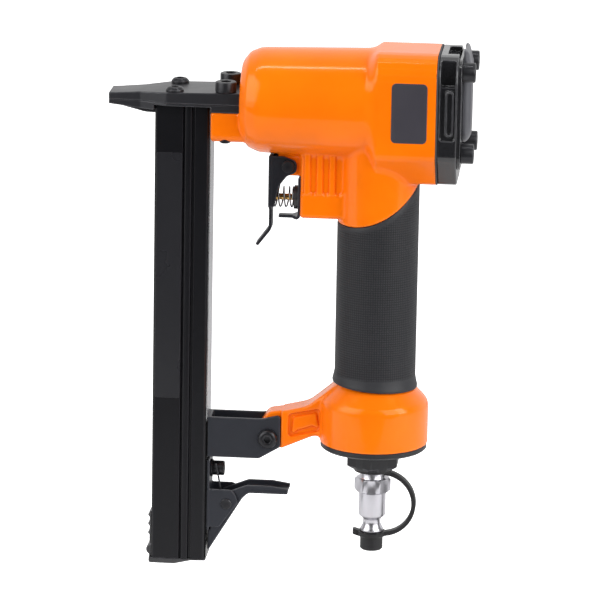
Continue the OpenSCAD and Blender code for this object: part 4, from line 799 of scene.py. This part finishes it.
def latch_wire():
    """Line of the wire: three turns of a helix round the pin, then a leg on a quadratic curve from their
    end past one bend to its tip beside the screw."""
    t = np.linspace(0, 1, 100)[:, None]
    angle = math.pi * (1 + 6 * (1 - t))
    turns = np.concatenate([latch_x + 2.4 * np.cos(angle), 3 - 6 * t, latch_z + 2.4 * np.sin(angle)], 1)
    bend_at, tip = np.array((51.3, -3.9, -176)), np.array((48.7, -4.2, -164.6))
    t = np.linspace(0.05, 1, 20)[:, None]
    return np.concatenate([turns, (1 - t) ** 2 * turns[-1] + 2 * t * (1 - t) * bend_at + t ** 2 * tip])


formed("latch_bracket_sheet", bracket, (45, -7, -195.5), (59.2, 7, -162), 0.35,
       "tool", "latch_bracket", "blackened_steel", phosphate)
formed("latch_thumb_lever", lever, (45.4, -5.6, -204.2), (81.5, 5.6, -173.6), 0.36,
       "latch", "latch_lever", "blackened_steel", phosphate)
washer_screw = [(-6, 0), (-6, 2), (0, 2), (0, 3.8), (0.2, 4), (0.7, 4), (0.9, 3.8), (0.9, 3.2), (1.1, 3.3),
                (5.6, 3.3), (6, 2.9), (6, 2.1), (5.8, 1.8, 1.55), (3.4, 1.8, 1.55), (3.39, 1.2), (3, 0)]
fit("latch_socket_screw", turned(washer_screw, "x", (46.2, 0, -167.5)),
    "tool", "latch_screw", "black_fasteners", oxide)
latch_pin = headed_pin(half=7.7, radius=1.8, head=2.4, thick=0.7)
fit("latch_pivot_pin", turned(latch_pin, "y", (latch_x, 0, latch_z)),
    "tool", "latch_pin", "black_fasteners", oxide)
wire_line = latch_wire()
along = unit_rows(np.gradient(wire_line, axis=0))
over = unit_rows(np.cross(along, (0, 1, 0)))
fit("latch_wire", swept(wire_line, np.cross(over, along), over, wire_section(0.4, 10)),
    "tool", "latch_spring", "spring_steel", oxide, crease=60)

# Trigger: pressed steel channel on a pin in the housing's lug, two ears and a bent-out tip. A wide coil
# spring sits between it and the valve bush, which also holds a bent stop plate; the brass valve stem
# runs through the coil.
trigger_x, trigger_z = 78.9, -28.1
web_outline = rounded([(70.5, -23.6), (71.9, -23.6), (71.9, -56.9), (65.9, -64.7), (64.7, -63.9),
                       (70.5, -56.1)], [0.3, 0, 5, 0.4, 0.4, 4])
ear_outline = rounded([(70.5, -23.6), (76.9, -23.6), (82.7, -25.7), (82.7, -30.5), (78.4, -32.5),
                       (74.9, -37.1), (73.1, -46.5), (70.5, -46.5)], [0.6, 2, 3, 2.5, 2.5, 4, 1, 0])
stop_outline = rounded([(84.7, -33.2), (84.7, -52), (74.6, -52), (74.6, -50.6), (83.3, -50.6),
                        (83.3, -33.2)], [0.3, 2.6, 0.3, 0.3, 1.2, 0.3])


def trigger(x, y, z):
    """Distance of the trigger: the web, narrow at the finger, and an ear along each edge."""
    side = np.abs(y)
    web = both(gap(x, z, web_outline), side - np.interp(z, (-48.5, -46), (3.5, 6.6)), 0.3)
    ears = both(gap(x, z, ear_outline), np.abs(side - 5.9) - 0.7, 0.3)
    return cut(join(web, ears, 0.6), np.hypot(x - trigger_x, z - trigger_z) - 2.05, 0.1)


def stop(x, y, z):
    """Distance of the stop plate: a bent strip, wide behind the bush and narrow along its foot, with the
    bush's hole."""
    bent = both(gap(x, z, stop_outline), np.abs(y) - np.interp(x, (80.5, 83), (2, 6)), 0.3)
    return cut(bent, np.maximum(np.hypot(y, z - valve_z) - valve_radius, 80 - x), 0.1)


trigger_black = finish("trigger_black", (0.011, 0.0115, 0.016), (0.14, 0.14, 0.16), wear_and_highlight=0.6,
                       gloss=(0.3, 0.4), cells=1900, depth=0.2, Metallic=0.3)
formed("trigger_sheet", trigger, (64.5, -6.6, -64.9), (82.7, 6.6, -23.6), (0.35, 0.35, 0.4),
       "trigger", "trigger", "blackened_steel", trigger_black)
formed("stop_plate_sheet", stop, (74.6, -6, -52), (84.7, 6, -33.2), (0.35, 0.4, 0.35),
       "tool", "stop_plate", "blackened_steel", phosphate)
trigger_pin = headed_pin(half=7.7, radius=2, head=2.7, thick=0.9)
fit("trigger_pivot_pin", turned(trigger_pin, "y", (trigger_x, 0, trigger_z)),
    "tool", "trigger_pin", "black_fasteners", oxide)
pull_coil = fit("trigger_coil", coil(72.0, 81.4, 4.4, 0.7, 4.5, "x", (0, 0, valve_z)),
                "tool", "trigger_spring", "spring_steel", wire_steel, crease=60)
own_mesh(pull_coil)
stem_coil = fit("valve_coil", coil(96.5, 104, 2.4, 0.6, 5, "x", (0, 0, valve_z)),
                "tool", "valve_spring", "spring_steel", wire_steel, crease=60)
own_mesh(stem_coil)
dress(plastic, "valve_bush")
dress(brass, "valve_stem")
dress(rubber, "valve_seals")

# Grip: moulded rubber sleeve pushed over the handle core, its top edge scooped to follow the neck and
# its foot flared to a lip. The skin carries a fine pattern of small squares.
grip_bore, grip_scoop, wall_foot, squares_round = 15.45, 35.6, -120.2, 107
grip_rubber = finish("grip_rubber", (0.017, 0.0175, 0.021), (0.05, 0.05, 0.056), wear_and_highlight=0.4,
                     gloss=(0.48, 0.58), cells=2600, depth=0.2)
tree = grip_rubber.node_tree
skin = tree.nodes["Principled BSDF"].inputs
spot = node(tree, "SeparateXYZ", {0: node(tree, "TexCoord")["Object"]})
angle = worked(tree, "ARCTAN2", spot["Y"], worked(tree, "SUBTRACT", spot["X"], 0.1183))
column = worked(tree, "MULTIPLY", angle, squares_round / (2 * math.pi))
row = worked(tree, "MULTIPLY", spot["Z"], squares_round / (2 * math.pi * 0.01785))
unrolled = node(tree, "CombineXYZ", {0: column, 1: row})[0]
between = node(tree, "TexBrick", {"Vector": unrolled, "Scale": 1.0, "Brick Width": 1.0, "Row Height": 1.0,
                                  "Mortar Size": 0.2, "Mortar Smooth": 0.5}, offset=0.0, squash=1.0)["Fac"]
from_side = node(tree, "CombineXYZ", {0: spot["X"], 2: spot["Z"]})[0]
off_scoop = node(tree, "VectorMath", {0: from_side, 1: (0.105, 0, -0.017)}, operation="DISTANCE")["Value"]
below_edge = ramp(tree, off_scoop, 0.0372, 0.0384)
above_lip = ramp(tree, spot["Z"], -0.1212, -0.12)
ground = worked(tree, "MULTIPLY", between, worked(tree, "MULTIPLY", below_edge, above_lip))
sunk = node(tree, "Bump", {"Height": ground, "Strength": 0.7, "Distance": 0.0002,
                           "Normal": skin["Normal"].links[0].from_socket}, invert=True)[0]
tree.links.new(sunk, skin["Normal"])
# The grooves between the squares are darkened in colour: painted shade.
toned(tree, ramp(tree, ground, 0.0, 1.0, 1.0, 0.7))
tree.links.new(ramp(tree, ground, 0.0, 1.0, 0.46, 0.26), skin["Specular IOR Level"])


def sleeve(angles, rows):
    """Sleeve skin: outer wall from foot to scooped top, then the inner wall back down. The top edge at each
    angle is where the wall meets a circle seen from the side; rows between lip and edge are spread evenly.
    The foot leans down to the back, and the lean fades out up the wall."""
    around = np.linspace(0, 2 * math.pi, angles, endpoint=False)[None]
    top, inner_top = (scoop_z - np.sqrt(grip_scoop ** 2 - (handle_x + reach * np.cos(around) - scoop_x) ** 2)
                      for reach in (neck_radius, grip_bore))
    foot = np.array([(grip_bore, -125.5), (18.35, -125.5), (18.7, -125.3), (18.75, -124.9), (18.75, -124.4),
                     (18.6, -124.0), (17.95, -120.8)])
    climb = np.linspace(0, 1, rows)[:, None]
    wall = wall_foot + (top - 0.7 - wall_foot) * climb
    radius = np.concatenate([foot[:, 0], np.full(rows, neck_radius), (17.65, 17.25, grip_bore)])[:, None]
    height = np.concatenate([np.repeat(foot[:, 1:], angles, 1), wall, top - 0.2, top, inner_top])
    lean = np.concatenate([np.ones((len(foot), 1)), 1 - climb, np.zeros((3, 1))])
    height = height - seat_lean * lean * radius * np.cos(around)
    points = np.stack([handle_x + radius * np.cos(around), radius * np.sin(around), height], -1)
    at = np.arange(height.size).reshape(-1, angles)
    return points.reshape(-1, 3), [walls(np.concatenate([at, at[:1]]))]


fit("grip_sleeve", sleeve(144, 60), "tool", "grip", "grip_rubber", grip_rubber)

# Air inlet: black end cap screwed into the base with its hexagon, and a plated plug for a quick air
# coupler. A rubber dust cap closes the plug and hangs on a strap whose ring sits under the cap's hexagon.
chrome = finish("nickel_plate", (0.62, 0.61, 0.65), (0.78, 0.78, 0.82), wear_and_highlight=0.3, gloss=(0.26, 0.34),
                cells=(1500, 1500, 300), depth=0.08, Metallic=1.0)
end_black = finish("end_cap_paint", (0.008, 0.008, 0.01), (0.12, 0.12, 0.13), wear_and_highlight=0.5, gloss=(0.34, 0.44),
                   cells=2200, depth=0.15, Specular_IOR_Level=0.4)
inlet = (handle_x, 0, 0)
end_line = [(-164.2, 0), (-164.2, 9.4), (-162.2, 13, 11), (-157.5, 13, 11), (-157.1, 13, 11.2),
            (-157.1, 13.1), (-154.7, 22.5), (-154.3, 23.1), (-153.9, 23.5), (-152.2, 23.5), (-152, 23.3),
            (-152, 19.8), (-142.5, 19.8), (-142.5, 12), (-150, 12), (-150, 0)]
plug_line = [(-200.5, 0), (-200.5, 3.5), (-200.1, 3.95), (-193.4, 3.95), (-193.4, 5), (-193.1, 5.2),
             (-192.4, 5.2), (-191.4, 4.6), (-190.2, 4.05), (-189.2, 3.95), (-187.8, 3.95), (-187.6, 4.1),
             (-186, 5.8), (-185.6, 6), (-175.4, 6), (-175.2, 5.5), (-174.8, 5.5), (-174.8, 7.3),
             (-174.4, 8.08, 7), (-169.4, 8.08, 7), (-168.8, 7.2), (-168.8, 5.9), (-168.4, 5.6),
             (-165.6, 5.6), (-165.6, 6), (-157, 6), (-157, 0)]
dust_line = [(-201.8, 0), (-201.8, 4.5), (-201.2, 5.05), (-195.7, 5.05), (-195.5, 5.3), (-195.5, 6.1),
             (-195.2, 6.4), (-193.8, 6.4), (-193.5, 6.1), (-193.5, 4.05), (-200.8, 4.05), (-200.8, 0)]
tab_x, bow_x, bow_z, bow_radius, strap_half = 111.6, 122.65, -180.4, 14.1, 2.2


def tab(x, y, z):
    """Distance of the dust cap's pull tab: a small rounded tongue, tilted."""
    return block(x, y, z + 0.3 * (x - tab_x), (tab_x, 0, -194.3), (1.7, 2, 1.3), 0.8, 0.4)


def strap(x, y, z):
    """Distance of the strap: a flat ring round the plug's seat and a band bowed to the dust cap's flange."""
    hoop = both(np.abs(np.hypot(x - handle_x, y) - 7.225) - 1.175, np.abs(z + 164.9) - 0.7, 0.3)
    bow = both(np.abs(np.hypot(x - bow_x, z - bow_z) - bow_radius) - 1, np.abs(y) - strap_half, 0.5)
    bow = np.maximum(bow, bow_x - x)
    foot = block(x, y, z, (124, 0, -165.3), (2.4, strap_half, 0.9), 0.4, 0.3)
    return join(np.minimum(hoop, foot), bow, 0.5)


fit("end_cap_turned", turned(end_line, "z", inlet, 96), "tool", "end_cap", "black_paint", end_black)
dress(rubber, "end_cap_seal")
fit("air_plug_turned", turned(plug_line, "z", inlet, 72, 0), "tool", "air_plug", "chrome", chrome)
tab_skin = cast(tab, even(109.9, 113.3, 0.3), even(-2, 2, 0.3), even(-196.2, -192.4, 0.3))[:2]
fit("dust_cap_moulded", several([turned(dust_line, "z", inlet), tab_skin]),
    "dust_cap", "dust_cap", "black_rubber", rubber)
strap_piece = piece("strap_band", *cast(
    strap, even(109.9, 137.8, 0.4), even(-8.4, 8.4, 0.4), even(-195.5, -164.2, 0.4)))
strap_piece.data.materials.append(rubber)
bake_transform(strap_piece)
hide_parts("cap_strap")


# Camera: a long lens almost two metres off the tool's left side, a little above it and towards its rear
# end, and rolled by one degree.
def stand(made, right, up, back, spot):
    """Puts an object into the scene at a spot, with its own three axes along right, up and back."""
    made.matrix_world = Matrix([*np.stack([right, up, back, spot], 1).tolist(), (0, 0, 0, 1)])
    bpy.context.scene.collection.objects.link(made)


azimuth, elevation, roll = math.radians(5), math.radians(13.9), math.radians(1)
looked_at, distance = np.array([0.084569, 0, -0.089285]), 1.98
level = np.array([math.cos(azimuth), math.sin(azimuth), 0])
off_side = np.array([math.sin(azimuth), -math.cos(azimuth), 0])
back = off_side * math.cos(elevation) + np.array([0, 0, math.sin(elevation)])
upright = np.cross(back, level)
right = level * math.cos(roll) + upright * math.sin(roll)
up = upright * math.cos(roll) - level * math.sin(roll)
lens = bpy.data.cameras.new("camera")
lens.lens, lens.sensor_width, lens.clip_end = 270, 36, 20
camera = bpy.data.objects.new("camera", lens)
stand(camera, right, up, back, looked_at + back * distance)
bpy.context.scene.camera = camera

# Studio: a white floor, low enough for the drawer's full travel, and soft lights: a long strip overhead
# for the line along the barrel, a box at each side and two large ones in front. The camera sees plain
# white behind, and the world lights the tool mostly from behind.
scene = bpy.context.scene
scene.view_settings.view_transform = "Standard"
floor_z, floor_front, floor_rear = -0.335, -0.66, 3
floor_corners = [(-1.5, floor_front), (1.5, floor_front), (1.5, floor_rear), (-1.5, floor_rear)]
floor_mesh = bpy.data.meshes.new("floor")
floor_mesh.from_pydata([(x, y, floor_z) for x, y in floor_corners], [], [(0, 1, 2, 3)])
floor = bpy.data.objects.new("floor", floor_mesh)
scene.collection.objects.link(floor)
white = bpy.data.materials.new("floor_white")
white.use_nodes = True
tree = white.node_tree
skin = tree.nodes["Principled BSDF"].inputs
skin["Base Color"].default_value = (0.85, 0.85, 0.85, 1)
skin["Roughness"].default_value = 0.8
skin["Emission Color"].default_value = (1, 1, 1, 1)
tree.links.new(node(tree, "LightPath")["Is Camera Ray"], skin["Emission Strength"])
floor_mesh.materials.append(white)
for name, place_at, aim_at, size, power in (
        ("strip", (0.08, -0.06, 0.9), (0.08, 0, -0.05), (1.2, 0.06), 3),
        ("left_box", (-1.1, -0.7, 0.5), (0.05, 0, -0.1), (1.2, 1.6), 9),
        ("right_box", (1.1, -0.4, 0.3), (0.1, 0, -0.1), (0.4, 1.0), 4),
        ("left_front", (-1.5, -1.4, 1.0), (0.08, 0, -0.1), (2.0, 2.0), 24),
        ("right_front", (1.7, -1.3, 0.9), (0.08, 0, -0.1), (2.0, 2.0), 37.5)):
    light = bpy.data.lights.new(name, "AREA")
    light.shape, light.size, light.size_y, light.energy = "RECTANGLE", *size, power
    lamp = bpy.data.objects.new(name, light)
    away = np.array(place_at) - np.array(aim_at)
    away /= np.linalg.norm(away)
    wide = np.cross((0, 0, 1), away)
    wide /= np.linalg.norm(wide)
    stand(lamp, wide, np.cross(away, wide), away, place_at)
world = bpy.data.worlds.new("studio")
scene.world = world
world.use_nodes = True
sky = world.node_tree
seen = node(sky, "LightPath")["Is Camera Ray"]
rearward = node(sky, "SeparateXYZ", {0: node(sky, "TexCoord")["Generated"]})["Y"]
strength = ramp(sky, seen, 0.0, 1.0, ramp(sky, rearward, -0.1, 0.6, 0.06, 0.9), 1.0)
sky.nodes["Background"].inputs["Color"].default_value = (1, 1, 1, 1)
sky.links.new(strength, sky.nodes["Background"].inputs["Strength"])
